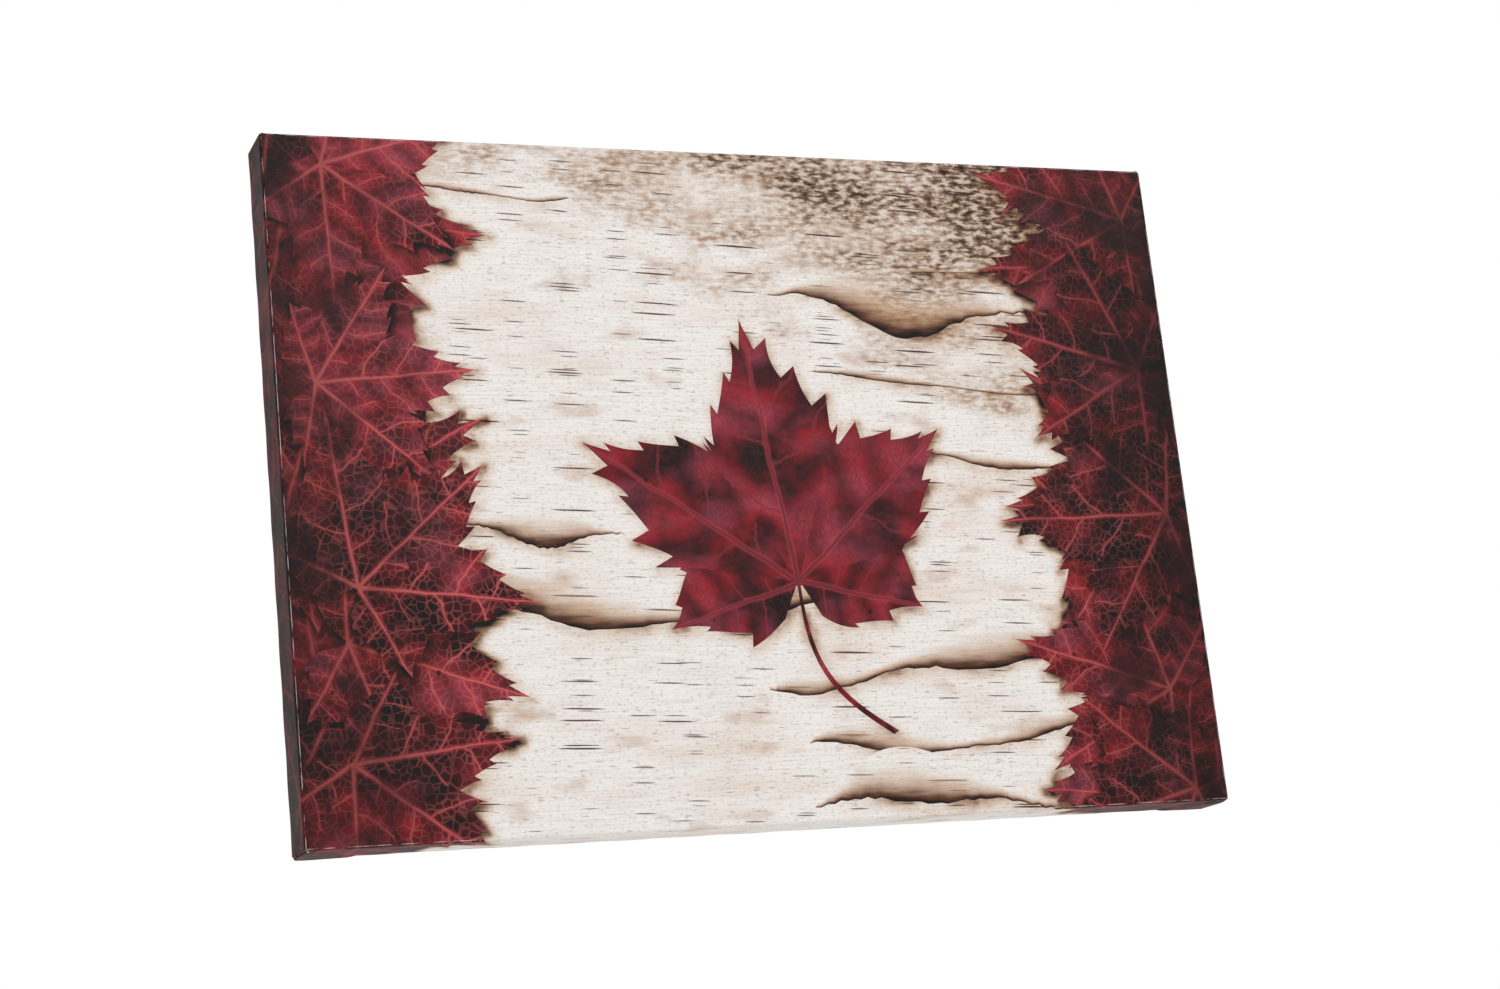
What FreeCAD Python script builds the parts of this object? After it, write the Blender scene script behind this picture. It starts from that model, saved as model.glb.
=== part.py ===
"""Stretched canvas on a keyed pine stretcher frame, 28 x 20 x 1.5 in nominal.

Row frame: +X to the right as seen from the painted face, +Y towards the wall behind, +Z up.
The origin is the middle of the bounding box's base, so the canvas stands on Z = 0.
Every sub-part is written to parts/NODE.step. Lengths are in millimetres.
"""
import FreeCAD
import Part
import math
import os

Vector = FreeCAD.Vector

# ---- stretcher frame, outside sizes of the wood ----
FRAME_WIDTH = 711.2
FRAME_HEIGHT = 508.0
BAR_DEPTH = 38.1
BAR_WIDTH = 38.1

# ---- bar profile ----
BEAD_WIDTH = 6.0          # flat rim that carries the cloth
BEAD_DROP = 2.2           # step down behind the rim
BEVEL_DROP = 2.0          # further fall of the bevel towards the inner edge
ARRIS = 1.5               # rounding of the inner long edges
BEAD_ROUNDING = 0.8

# ---- corner joint, as layers in the middle of the bar's depth ----
TONGUE = 5.0              # thickness of each tongue and of the slot that takes it
SLOT_THIN = 2.0           # key gap at the outer edge of the bar
SLOT_WIDE = 10.5          # key gap at the inner edge of the bar

# ---- corner keys ----
KEY_FACE_CLEARANCE = 0.2  # above and below the key, in its slot
KEY_EDGE_CLEARANCE = 0.15
KEY_TIP_SETBACK = 6.0     # from the outer edge of the bar to the key's thin end
KEY_STANDOUT = 13.0       # butt end that stands out of the slot
KEY_ROUNDING = 0.6

# ---- canvas ----
CANVAS = 0.5              # primed cotton duck
EDGE_RADIUS = 1.6         # outside radius of the cloth where it goes round the bars
BARE_STRIP = 10.0         # back of the bar that the turned-over cloth leaves bare

# ---- staples ----
STAPLE_PITCH = 48.0
STAPLE_END = 30.0         # first staple, from the end of the bar
STAPLE_INSET = 15.0       # row's distance from the outside of the frame
STAPLE_CROWN = 10.0
STAPLE_WIRE_WIDTH = 1.25
STAPLE_WIRE_THICK = 0.6
STAPLE_LEG = 9.5
STAPLE_BEND = 0.5
STAPLE_SKEW = 7.0         # degrees, the largest tilt of a hand-fired staple
STAPLE_SPARE = 4.0        # room left between a staple and any fitting

# ---- strap hangers ----
HANGER_DROP = 127.0       # below the top of the frame
HANGER_SETBACK = 4.1      # hinge line, from the inner edge of the bar
STRAP_THICK = 0.9
STRAP_WIDTH = 10.0
STRAP_LENGTH = 26.0       # from the hinge line to the rounded end
STRAP_FOLD = 5.0          # slope from the knuckle down to the doubled strap
RING_WIRE = 2.4
RING_CLEARANCE = 0.08     # radial, between the ring's bar and the knuckle
RING_SIDE_PLAY = 0.5      # each side of the knuckle
RING_CORNER = 2.4
RING_LEG = 2.0

# ---- hanger screws ----
SCREW_INSET = 19.0        # from the hinge line
SCREW_SHANK = 3.5
SCREW_HOLE_CLEARANCE = 0.25
SCREW_LENGTH = 15.0
SCREW_TIP = 4.0
SCREW_HEAD = 7.0
SCREW_HEAD_HEIGHT = 2.3
SCREW_HEAD_ROUNDING = 1.1
RECESS_SPAN = 3.8
RECESS_WIDTH = 0.9
RECESS_DEPTH = 1.2

# ---- wall bumpers ----
BUMPER_BASE = 12.0
BUMPER_TOP = 9.5
BUMPER_HEIGHT = 4.7
BUMPER_ROUNDING = 0.8
BUMPER_INSET = 15.0       # centre, from both outer edges of the frame

# ---- places that follow from the sizes above ----
RING_RADIUS = RING_WIRE / 2
KNUCKLE_BORE = RING_RADIUS + RING_CLEARANCE
KNUCKLE_RADIUS = KNUCKLE_BORE + STRAP_THICK
SCREW_PROUD = 2 * STRAP_THICK + SCREW_HEAD_HEIGHT
HARDWARE_PROUD = max(BUMPER_HEIGHT, 2 * KNUCKLE_RADIUS, SCREW_PROUD)
OVERALL_DEPTH = BAR_DEPTH + 2 * CANVAS + HARDWARE_PROUD
FRONT = -OVERALL_DEPTH / 2 + CANVAS       # front of the wood
BACK = FRONT + BAR_DEPTH                  # back of the wood
CLOTH_BACK = BACK + CANVAS                # back of the canvas return
RETURN_WIDTH = BAR_WIDTH - BARE_STRIP
LEFT = -FRAME_WIDTH / 2
RIGHT = FRAME_WIDTH / 2
BOTTOM = CANVAS
TOP = BOTTOM + FRAME_HEIGHT
CHEEK = (BAR_DEPTH - 2 * TONGUE) / 2      # mitred cheek on each side of the tongues
LAYER_A = CHEEK                           # tongues of the top and bottom bars
LAYER_B = CHEEK + TONGUE                  # tongues of the side bars
BACK_CHEEK = CHEEK + 2 * TONGUE
HANGER_Z = TOP - HANGER_DROP
HANGER_X = LEFT + BAR_WIDTH - HANGER_SETBACK


def box(x0, x1, y0, y1, z0, z1):
    """A box between two corners."""
    return Part.makeBox(x1 - x0, y1 - y0, z1 - z0, Vector(x0, y0, z0))


def prism(points, direction):
    """A straight solid on a flat outline of straight edges."""
    outline = Part.makePolygon([Vector(*p) for p in points] + [Vector(*points[0])])
    return Part.Face(outline).extrude(Vector(*direction))


def rounded_box(x0, x1, y0, y1, z0, z1, radius):
    """A box with all twelve edges rounded."""
    solid = box(x0, x1, y0, y1, z0, z1)
    return solid.makeFillet(radius, solid.Edges)


def fused(shapes):
    """One solid from several that touch or overlap."""
    joined = shapes[0].multiFuse(shapes[1:]).removeSplitter()
    return joined.Solids[0] if len(joined.Solids) == 1 else joined


def edges_through(shape, axis, places):
    """Edges along one axis that pass through any of the places, given in the other two coordinates."""
    found = []
    for edge in shape.Edges:
        ends = [vertex.Point for vertex in edge.Vertexes]
        if len(ends) != 2 or abs(abs((ends[1] - ends[0]).normalize()[axis]) - 1) > 1e-6:
            continue
        here = [ends[0][i] for i in range(3) if i != axis]
        if any(math.dist(here, place) < 1e-3 for place in places):
            found.append(edge)
    return found


def wood_envelope():
    """The outside of the whole wooden frame, with the soft edges that the cloth goes round."""
    return rounded_box(LEFT, RIGHT, FRONT, BACK, BOTTOM, TOP, EDGE_RADIUS - CANVAS)


# A bar is drawn lying along X from 0, its outer edge on Z = 0, its front on Y = 0.

def key_gap(across):
    """Width of the key's gap at a distance in from the outer edge of the bar."""
    return SLOT_THIN + (SLOT_WIDE - SLOT_THIN) * across / BAR_WIDTH


def bar_profile(length):
    """The moulded section along the full length of a bar, before its ends are cut."""
    slope_start = BEAD_WIDTH + BEAD_DROP
    section = [(0, 0, 0), (0, 0, BEAD_WIDTH), (0, BEAD_DROP, slope_start),
               (0, BEAD_DROP + BEVEL_DROP, BAR_WIDTH), (0, BAR_DEPTH, BAR_WIDTH), (0, BAR_DEPTH, 0)]
    solid = prism(section, (length, 0, 0))
    arrises = edges_through(solid, 0, [(BEAD_DROP + BEVEL_DROP, BAR_WIDTH), (BAR_DEPTH, BAR_WIDTH)])
    solid = solid.makeFillet(ARRIS, arrises)
    return solid.makeFillet(BEAD_ROUNDING, edges_through(solid, 0, [(0, BEAD_WIDTH)]))


def bar_layer(length, outline_end, start, thickness):
    """One layer of a bar: outline_end lists (along, across) down one end, and the other end mirrors it."""
    near = [(along, start, across) for along, across in outline_end]
    far = [(length - along, start, across) for along, across in reversed(outline_end)]
    return prism(near + far, (0, thickness, 0))


def stretcher_bar(length, tongue_layer, slot_layer):
    """A bar with a mitred bridle joint at each end, in its drawing position."""
    mitre = [(0, 0), (BAR_WIDTH, BAR_WIDTH)]
    tongue = [(0, 0), (0, BAR_WIDTH)]
    slot = [(BAR_WIDTH + key_gap(0), 0), (BAR_WIDTH + key_gap(BAR_WIDTH), BAR_WIDTH)]
    layers = [
        bar_layer(length, mitre, 0, CHEEK),
        bar_layer(length, tongue, tongue_layer, TONGUE),
        bar_layer(length, slot, slot_layer, TONGUE),
        bar_layer(length, mitre, BACK_CHEEK, CHEEK),
    ]
    return bar_profile(length).common(fused(layers))


def corner_key():
    """A key drawn for the slot in a side bar: its straight edge on Z = 0, its thin end at X = 0."""
    length = BAR_WIDTH - KEY_TIP_SETBACK + KEY_STANDOUT
    taper = (SLOT_WIDE - SLOT_THIN) / BAR_WIDTH
    thin = SLOT_THIN + taper * KEY_TIP_SETBACK - 2 * KEY_EDGE_CLEARANCE
    outline = [(0, 0, 0), (length, 0, 0), (length, 0, thin + taper * length), (0, 0, thin)]
    key = prism(outline, (0, TONGUE - 2 * KEY_FACE_CLEARANCE, 0))
    return key.makeFillet(KEY_ROUNDING, edges_through(key, 1, [(length, 0), (length, thin + taper * length)]))


def placed(shape, turn, move):
    """A copy turned about +Y by quarter turns and moved, as (quarter turns, (x, y, z))."""
    copy = shape.copy()
    copy.rotate(Vector(0, 0, 0), Vector(0, 1, 0), 90 * turn)
    copy.translate(Vector(*move))
    return copy


def mirrored(shape, flip_x, flip_z):
    """A copy mirrored about the frame's upright middle plane, its level middle plane, or both."""
    copy = shape
    if flip_x:
        copy = copy.mirror(Vector(0, 0, 0), Vector(1, 0, 0))
    if flip_z:
        copy = copy.mirror(Vector(0, 0, (BOTTOM + TOP) / 2), Vector(0, 0, 1))
    return copy


def stretcher_bars(envelope):
    """The four bars in place, trimmed to the soft outside edges of the frame."""
    level = stretcher_bar(FRAME_WIDTH, LAYER_A, LAYER_B)
    upright = stretcher_bar(FRAME_HEIGHT, LAYER_B, LAYER_A)
    bottom = placed(level, 0, (LEFT, FRONT, BOTTOM))
    right = placed(upright, -1, (RIGHT, FRONT, BOTTOM))
    return {
        "stretcher_bar_bottom": bottom.common(envelope),
        "stretcher_bar_top": mirrored(bottom, False, True).common(envelope),
        "stretcher_bar_right": right.common(envelope),
        "stretcher_bar_left": mirrored(right, True, False).common(envelope),
    }


def corner_keys():
    """Eight keys, two to a corner: the level one in the side bar's slot, the upright one in the top or bottom bar's."""
    key = corner_key()
    inner = BAR_WIDTH + KEY_EDGE_CLEARANCE
    level = placed(key, 0, (LEFT + KEY_TIP_SETBACK, FRONT + LAYER_A + KEY_FACE_CLEARANCE, BOTTOM + inner))
    upright = key.mirror(Vector(0, 0, 0), Vector(0, 0, 1))
    upright = placed(upright, -1, (LEFT + inner, FRONT + LAYER_B + KEY_FACE_CLEARANCE, BOTTOM + KEY_TIP_SETBACK))
    keys = {}
    for end, flip_z in (("bottom", False), ("top", True)):
        for side, flip_x in (("left", False), ("right", True)):
            keys[f"corner_key_{end}_{side}_level"] = mirrored(level, flip_x, flip_z)
            keys[f"corner_key_{end}_{side}_upright"] = mirrored(upright, flip_x, flip_z)
    return keys


def canvas(envelope):
    """One sheet over the front, round the four sides and turned onto the back."""
    outside = rounded_box(LEFT - CANVAS, RIGHT + CANVAS, FRONT - CANVAS, CLOTH_BACK,
                          BOTTOM - CANVAS, TOP + CANVAS, EDGE_RADIUS)
    opening = box(LEFT + RETURN_WIDTH, RIGHT - RETURN_WIDTH, BACK - 1, CLOTH_BACK + 1,
                  BOTTOM + RETURN_WIDTH, TOP - RETURN_WIDTH)
    return outside.cut(envelope).cut(opening)


def staple():
    """A staple drawn upside up: the crown along X under Y = 0 to its thickness, the legs towards -Y."""
    half = STAPLE_CROWN / 2
    crown_y = STAPLE_WIRE_THICK
    leg_y = crown_y - STAPLE_LEG - STAPLE_WIRE_THICK
    across = STAPLE_WIRE_WIDTH / 2
    outer = box(-half, half, leg_y, crown_y, -across, across)
    outer = outer.makeFillet(STAPLE_BEND, edges_through(outer, 2, [(-half, crown_y), (half, crown_y)]))
    return outer.cut(box(-half + STAPLE_WIRE_THICK, half - STAPLE_WIRE_THICK, leg_y - 1, 0, -across - 1, across + 1))


def clear_of_fittings(x, z):
    """True where a staple meets neither a strap nor a bumper."""
    reach = STAPLE_CROWN / 2 + STAPLE_SPARE
    if abs(z - HANGER_Z) < STRAP_WIDTH / 2 + reach:
        return False
    bumper_x = RIGHT - BUMPER_INSET
    bumper_z = BOTTOM + BUMPER_INSET
    return math.hypot(abs(x) - bumper_x, z - bumper_z) > BUMPER_BASE / 2 + reach


def staple_stations(length):
    """Evenly spaced places along a bar, from its middle."""
    span = length - 2 * STAPLE_END
    count = max(2, round(span / STAPLE_PITCH) + 1)
    return [-span / 2 + span * i / (count - 1) for i in range(count)]


def skew(index):
    """The tilt of one staple, which differs from its neighbours' as on a hand-stapled frame."""
    return STAPLE_SKEW * math.sin(2.4 * index + 0.7)


def staple_rows():
    """Four rows of staples, each row one group of separate solids."""
    one = staple()
    middle = (BOTTOM + TOP) / 2
    rows = {"staples_bottom": [], "staples_top": [], "staples_left": [], "staples_right": []}

    def fire(row, index, x, z, upright):
        if not clear_of_fittings(x, z):
            return
        copy = one.copy()
        copy.rotate(Vector(0, 0, 0), Vector(0, 1, 0), skew(index) + (90 if upright else 0))
        copy.translate(Vector(x, CLOTH_BACK, z))
        rows[row].append(copy)

    for i, along in enumerate(staple_stations(FRAME_WIDTH)):
        fire("staples_bottom", i, along, BOTTOM + STAPLE_INSET, False)
        fire("staples_top", i + 3, along, TOP - STAPLE_INSET, False)
    for i, along in enumerate(staple_stations(FRAME_HEIGHT)):
        fire("staples_left", i + 5, LEFT + STAPLE_INSET, middle + along, True)
        fire("staples_right", i + 8, RIGHT - STAPLE_INSET, middle + along, True)
    return {name: Part.makeCompound(row) for name, row in rows.items()}


# The left hanger is drawn with its hinge line on Z through X = 0, its underside on Y = 0 and its ring towards +X.

def hanger_strap():
    """A steel strip folded round the ring's bar and back on itself, with one screw hole."""
    low = -STRAP_WIDTH / 2
    leaf = box(-STRAP_LENGTH, 0, 0, STRAP_THICK, low, -low)
    upper = box(-STRAP_LENGTH, -STRAP_FOLD, STRAP_THICK, 2 * STRAP_THICK, low, -low)
    crest = 2 * KNUCKLE_RADIUS
    slope = prism([(0, crest, low), (0, crest - STRAP_THICK, low), (-STRAP_FOLD, STRAP_THICK, low),
                   (-STRAP_FOLD, 2 * STRAP_THICK, low)], (0, 0, STRAP_WIDTH))
    up = Vector(0, 0, 1)
    knuckle = Part.makeCylinder(KNUCKLE_RADIUS, STRAP_WIDTH, Vector(0, KNUCKLE_RADIUS, low), up)
    bore = Part.makeCylinder(KNUCKLE_BORE, STRAP_WIDTH + 2, Vector(0, KNUCKLE_RADIUS, low - 1), up)
    strap = fused([leaf, upper, slope, knuckle]).cut(bore)
    end_radius = STRAP_WIDTH / 2
    out = Vector(0, 1, 0)
    keep = fused([
        box(-STRAP_LENGTH + end_radius, KNUCKLE_RADIUS + 1, -1, crest + 1, low, -low),
        Part.makeCylinder(end_radius, crest + 2, Vector(-STRAP_LENGTH + end_radius, -1, 0), out),
    ])
    hole = Part.makeCylinder(SCREW_SHANK / 2 + SCREW_HOLE_CLEARANCE, crest + 2, Vector(-SCREW_INSET, -1, 0), out)
    return strap.common(keep).cut(hole)


def hanger_ring():
    """A closed D of round wire whose straight side is the hinge pin."""
    half = STRAP_WIDTH / 2 + RING_SIDE_PLAY
    bow = half + RING_CORNER
    legs_end = RING_CORNER + RING_LEG
    outline = [
        Part.LineSegment(Vector(0, 0, -half), Vector(0, 0, half)),
        quarter(Vector(RING_CORNER, 0, half), RING_CORNER, 90, 180),
        Part.LineSegment(Vector(RING_CORNER, 0, bow), Vector(legs_end, 0, bow)),
        quarter(Vector(legs_end, 0, 0), bow, -90, 90),
        Part.LineSegment(Vector(legs_end, 0, -bow), Vector(RING_CORNER, 0, -bow)),
        quarter(Vector(RING_CORNER, 0, -half), RING_CORNER, 180, 270),
    ]
    path = Part.Wire(Part.__sortEdges__([curve.toShape() for curve in outline]))
    section = Part.Wire(Part.makeCircle(RING_RADIUS, Vector(0, 0, 0), Vector(0, 0, 1)))
    ring = path.makePipeShell([section], True, False)
    ring.translate(Vector(0, KNUCKLE_RADIUS, 0))
    return ring


def quarter(centre, radius, start, end):
    """An arc in the XZ plane, angles in degrees from +X towards +Z."""
    def at(degrees):
        turn = math.radians(degrees)
        return centre + Vector(radius * math.cos(turn), 0, radius * math.sin(turn))
    return Part.Arc(at(start), at((start + end) / 2), at(end))


def screw_shank(radius):
    """The shank and point of the hanger screw, below the underside of its head."""
    seat = 2 * STRAP_THICK
    into = Vector(0, -1, 0)
    straight = Part.makeCylinder(radius, SCREW_LENGTH - SCREW_TIP, Vector(-SCREW_INSET, seat, 0), into)
    tip = Part.makeCone(radius, radius / 6, SCREW_TIP, Vector(-SCREW_INSET, seat - SCREW_LENGTH + SCREW_TIP, 0), into)
    return fused([straight, tip])


def hanger_screw():
    """A pan-head wood screw with a cross recess."""
    seat = 2 * STRAP_THICK
    head = Part.makeCylinder(SCREW_HEAD / 2, SCREW_HEAD_HEIGHT, Vector(-SCREW_INSET, seat, 0), Vector(0, 1, 0))
    rim = [edge for edge in head.Edges if abs(edge.CenterOfMass.y - seat - SCREW_HEAD_HEIGHT) < 1e-6]
    head = head.makeFillet(min(SCREW_HEAD_ROUNDING, 0.8 * SCREW_HEAD_HEIGHT), rim)
    crest = seat + SCREW_HEAD_HEIGHT
    arm = RECESS_SPAN / 2
    slot = RECESS_WIDTH / 2
    recess = fused([
        box(-SCREW_INSET - arm, -SCREW_INSET + arm, crest - RECESS_DEPTH, crest + 1, -slot, slot),
        box(-SCREW_INSET - slot, -SCREW_INSET + slot, crest - RECESS_DEPTH, crest + 1, -arm, arm),
    ])
    return fused([head, screw_shank(SCREW_SHANK / 2)]).cut(recess)


def in_hanger_place(shape, side):
    """A hanger piece moved from its drawing position to the left or right bar."""
    copy = shape.copy()
    copy.translate(Vector(HANGER_X, CLOTH_BACK, HANGER_Z))
    return mirrored(copy, side == "right", False)


def wall_bumper(side):
    """A soft stud with a flat end that rests on the wall."""
    place = Vector(LEFT + BUMPER_INSET, CLOTH_BACK, BOTTOM + BUMPER_INSET)
    stud = Part.makeCone(BUMPER_BASE / 2, BUMPER_TOP / 2, BUMPER_HEIGHT, place, Vector(0, 1, 0))
    rim = [edge for edge in stud.Edges if abs(edge.CenterOfMass.y - CLOTH_BACK - BUMPER_HEIGHT) < 1e-6]
    return mirrored(stud.makeFillet(BUMPER_ROUNDING, rim), side == "right", False)


def build():
    """Every node by name."""
    envelope = wood_envelope()
    nodes = {}
    nodes.update(stretcher_bars(envelope))
    nodes.update(corner_keys())
    nodes["canvas"] = canvas(envelope)
    nodes.update(staple_rows())
    screws = []
    for side in ("left", "right"):
        nodes[f"hanger_strap_{side}"] = in_hanger_place(hanger_strap(), side)
        nodes[f"hanger_ring_{side}"] = in_hanger_place(hanger_ring(), side)
        nodes[f"hanger_screw_{side}"] = in_hanger_place(hanger_screw(), side)
        nodes[f"wall_bumper_{side}"] = wall_bumper(side)
        screws.append(in_hanger_place(screw_shank(SCREW_SHANK / 2), side))
    for edge in ("top", "bottom", "left", "right"):
        legs = nodes[f"staples_{edge}"].Solids
        driven = legs + [screws[0]] * (edge == "left") + [screws[1]] * (edge == "right")
        bar = f"stretcher_bar_{edge}"
        nodes[bar] = nodes[bar].cut(driven)
        nodes["canvas"] = nodes["canvas"].cut(driven)
    return nodes


def main():
    """Writes one STEP file per node."""
    os.makedirs("parts", exist_ok=True)
    for name, shape in build().items():
        solids = shape.Solids
        whole = solids[0] if len(solids) == 1 else Part.makeCompound(solids)
        if not whole.isValid():
            print("not valid:", name)
        whole.exportStep(f"parts/{name}.step")
        print(f"{name}: {len(solids)} solid(s), {whole.Volume / 1000:.2f} cm3")


main()
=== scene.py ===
import logging
import math
import random
from dataclasses import dataclass, field
from enum import Enum
from typing import Iterable, Optional, Sequence, Union

import bpy
import numpy as np
from mathutils import Matrix, Vector
from mathutils.geometry import delaunay_2d_cdt


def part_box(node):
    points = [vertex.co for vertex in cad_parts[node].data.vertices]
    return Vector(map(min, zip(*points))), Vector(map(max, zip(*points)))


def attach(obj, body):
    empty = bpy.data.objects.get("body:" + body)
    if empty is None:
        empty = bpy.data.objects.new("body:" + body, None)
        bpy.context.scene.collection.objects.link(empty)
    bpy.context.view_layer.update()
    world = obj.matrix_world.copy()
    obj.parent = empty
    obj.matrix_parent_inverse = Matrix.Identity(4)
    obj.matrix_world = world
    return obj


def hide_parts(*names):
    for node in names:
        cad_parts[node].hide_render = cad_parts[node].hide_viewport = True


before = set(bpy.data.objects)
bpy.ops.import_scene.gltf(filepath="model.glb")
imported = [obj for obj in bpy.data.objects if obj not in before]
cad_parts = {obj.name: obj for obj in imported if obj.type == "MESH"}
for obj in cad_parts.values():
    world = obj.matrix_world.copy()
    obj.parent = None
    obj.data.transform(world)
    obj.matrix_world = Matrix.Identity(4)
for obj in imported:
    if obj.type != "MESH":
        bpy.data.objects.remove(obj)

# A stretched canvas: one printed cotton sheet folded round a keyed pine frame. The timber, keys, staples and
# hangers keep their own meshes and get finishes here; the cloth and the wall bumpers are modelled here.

logging.basicConfig(level=logging.INFO, format="%(name)s: %(message)s")
log = logging.getLogger("stretched_canvas")

MM = 0.001
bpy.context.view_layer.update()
Colour = tuple[float, float, float, float]
Point = tuple[float, float]
Tree = bpy.types.NodeTree
Node = bpy.types.Node
Socket = bpy.types.NodeSocket
Material = bpy.types.Material
Piece = bpy.types.Object


# ---------------------------------------------------------------------------------------------- node helpers

def linear(code: str) -> Colour:
    """Turns an sRGB hex value such as "#7A0F1A" into a linear colour.

    Args:
        code: six hex digits after a hash.

    Returns:
        Red, green, blue and a full alpha, as shaders take them.
    """
    parts = [int(code[i:i + 2], 16) / 255 for i in (1, 3, 5)]
    red, green, blue = (c / 12.92 if c <= 0.04045 else ((c + 0.055) / 1.055) ** 2.4 for c in parts)
    return red, green, blue, 1.0


def add_node(tree: Tree, kind: str, inputs: Optional[dict] = None, **settings) -> Node:
    """Adds one node with its settings and its links.

    Args:
        tree: the node tree that gets it.
        kind: the node's Blender type, without the ShaderNode prefix.
        inputs: socket name or index to a plain value, or to the output socket that feeds it.
        settings: properties of the node itself.

    Returns:
        The new node.
    """
    made = tree.nodes.new("ShaderNode" + kind)
    for name, value in settings.items():
        setattr(made, name, value)
    for key, value in (inputs or {}).items():
        if isinstance(value, Socket):
            tree.links.new(value, made.inputs[key])
        else:
            made.inputs[key].default_value = value
    return made


class Shading:
    """A material while it is built: a Principled shader, with short ways to add what feeds it."""

    def __init__(self, name: str, cloth: bool = False) -> None:
        """Starts the material.

        Args:
            name: the real material's name.
            cloth: True to draw on the flat sheet's own coordinates, False for the piece's.
        """
        self.material = bpy.data.materials.new(name)
        self.material.use_nodes = True
        self.tree = self.material.node_tree
        self.tree.nodes.clear()
        self.shader = add_node(self.tree, "BsdfPrincipled")
        add_node(self.tree, "OutputMaterial", {"Surface": self.shader.outputs["BSDF"]})
        self.place = self.read("cloth_place", "Vector") if cloth else self.add("TexCoord", "Object")

    def add(self, kind: str, output: Union[str, int], settings: Optional[dict] = None, **inputs) -> Socket:
        """Adds a node and gives one of its outputs.

        Args:
            kind: the node's type.
            output: the output's name or number.
            settings: properties of the node itself.
            inputs: its inputs, with underscores for the spaces in their names.

        Returns:
            The output's socket.
        """
        named = {key.replace("_", " "): value for key, value in inputs.items()}
        return add_node(self.tree, kind, named, **(settings or {})).outputs[output]

    def read(self, attribute: str, output: str) -> Socket:
        """Reads what the mesh carries under a name."""
        return self.add("Attribute", output, {"attribute_name": attribute})

    def split(self, source: Socket, kind: str = "XYZ") -> list[Socket]:
        """Gives the three parts of a vector, or of a colour when kind is Color."""
        entry = "Vector" if kind == "XYZ" else "Color"
        return list(add_node(self.tree, "Separate" + kind, {entry: source}).outputs)

    def ramp(self, factor: Socket, *stops: tuple[float, Union[float, str]]) -> Socket:
        """Adds a colour ramp.

        Args:
            factor: the socket that runs along the ramp.
            stops: places from 0 to 1, each with a hex colour or a linear grey.

        Returns:
            The ramp's colour socket.
        """
        ramp = add_node(self.tree, "ValToRGB", {"Fac": factor})
        elements = ramp.color_ramp.elements
        while len(elements) < len(stops):
            elements.new(0.5)
        for element, (place, tone) in zip(elements, stops):
            element.position = place
            element.color = linear(tone) if isinstance(tone, str) else (tone, tone, tone, 1.0)
        return ramp.outputs["Color"]

    def mix(self, factor: Union[float, Socket], first: Union[str, Socket], second: Union[str, Socket],
            mode: str = "MIX") -> Socket:
        """Lays one colour over another.

        Args:
            factor: how much of the second shows.
            first: the colour below.
            second: the colour above.
            mode: how the two are combined.

        Returns:
            The mixed colour's socket.
        """
        below, above = (linear(colour) if isinstance(colour, str) else colour for colour in (first, second))
        return self.add("MixRGB", "Color", {"blend_type": mode}, Fac=factor, Color1=below, Color2=above)

    def calc(self, operation: str, *values: Union[float, Socket]) -> Socket:
        """Does one sum on up to three numbers or sockets."""
        return add_node(self.tree, "Math", dict(enumerate(values)), operation=operation).outputs[0]

    def remap(self, value: Socket, low: float, high: float, bottom: float = 0.0, top: float = 1.0) -> Socket:
        """Maps a number's range from low to high onto bottom to top, and holds it there."""
        return self.add("MapRange", "Result", Value=value, From_Min=low, From_Max=high,
                        To_Min=bottom, To_Max=top)

    def noise(self, size_mm: float, detail: float, place: Optional[Socket] = None,
              output: str = "Fac") -> Socket:
        """Noise with features of about size_mm, at the material's own place unless another is given."""
        scale = 1 / (size_mm * MM)
        return self.add("TexNoise", output, Vector=place or self.place, Scale=scale, Detail=detail)

    def patches(self, size: Point, detail: float, place: Optional[Socket] = None) -> Socket:
        """Noise whose features are about size millimetres along and across the cloth."""
        scale = (1 / (size[0] * MM), 1 / (size[1] * MM), 1.0)
        spread = self.add("Mapping", "Vector", Vector=place or self.place, Scale=scale)
        return self.add("TexNoise", "Fac", Vector=spread, Scale=1.0, Detail=detail)

    def bump(self, height: Socket, strength: float, depth_mm: float) -> Socket:
        """Turns a height into a normal."""
        return self.add("Bump", "Normal", Height=height, Strength=strength, Distance=depth_mm * MM)

    def finish(self, **sockets: Union[float, Socket]) -> Material:
        """Sets or links the shader's sockets, with underscores for the spaces in their names.

        Args:
            sockets: each socket's plain value, or the socket that feeds it.

        Returns:
            The finished material.
        """
        for key, value in sockets.items():
            socket = self.shader.inputs[key.replace("_", " ")]
            if isinstance(value, Socket):
                self.tree.links.new(value, socket)
            else:
                socket.default_value = value
        return self.material


# ---------------------------------------------------------------------------------------------- finishes

class Grain(Enum):
    """The way a piece of timber's fibres run."""

    LEVEL = (0.05, 1.0, 1.0)
    UPRIGHT = (1.0, 1.0, 0.05)


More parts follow.
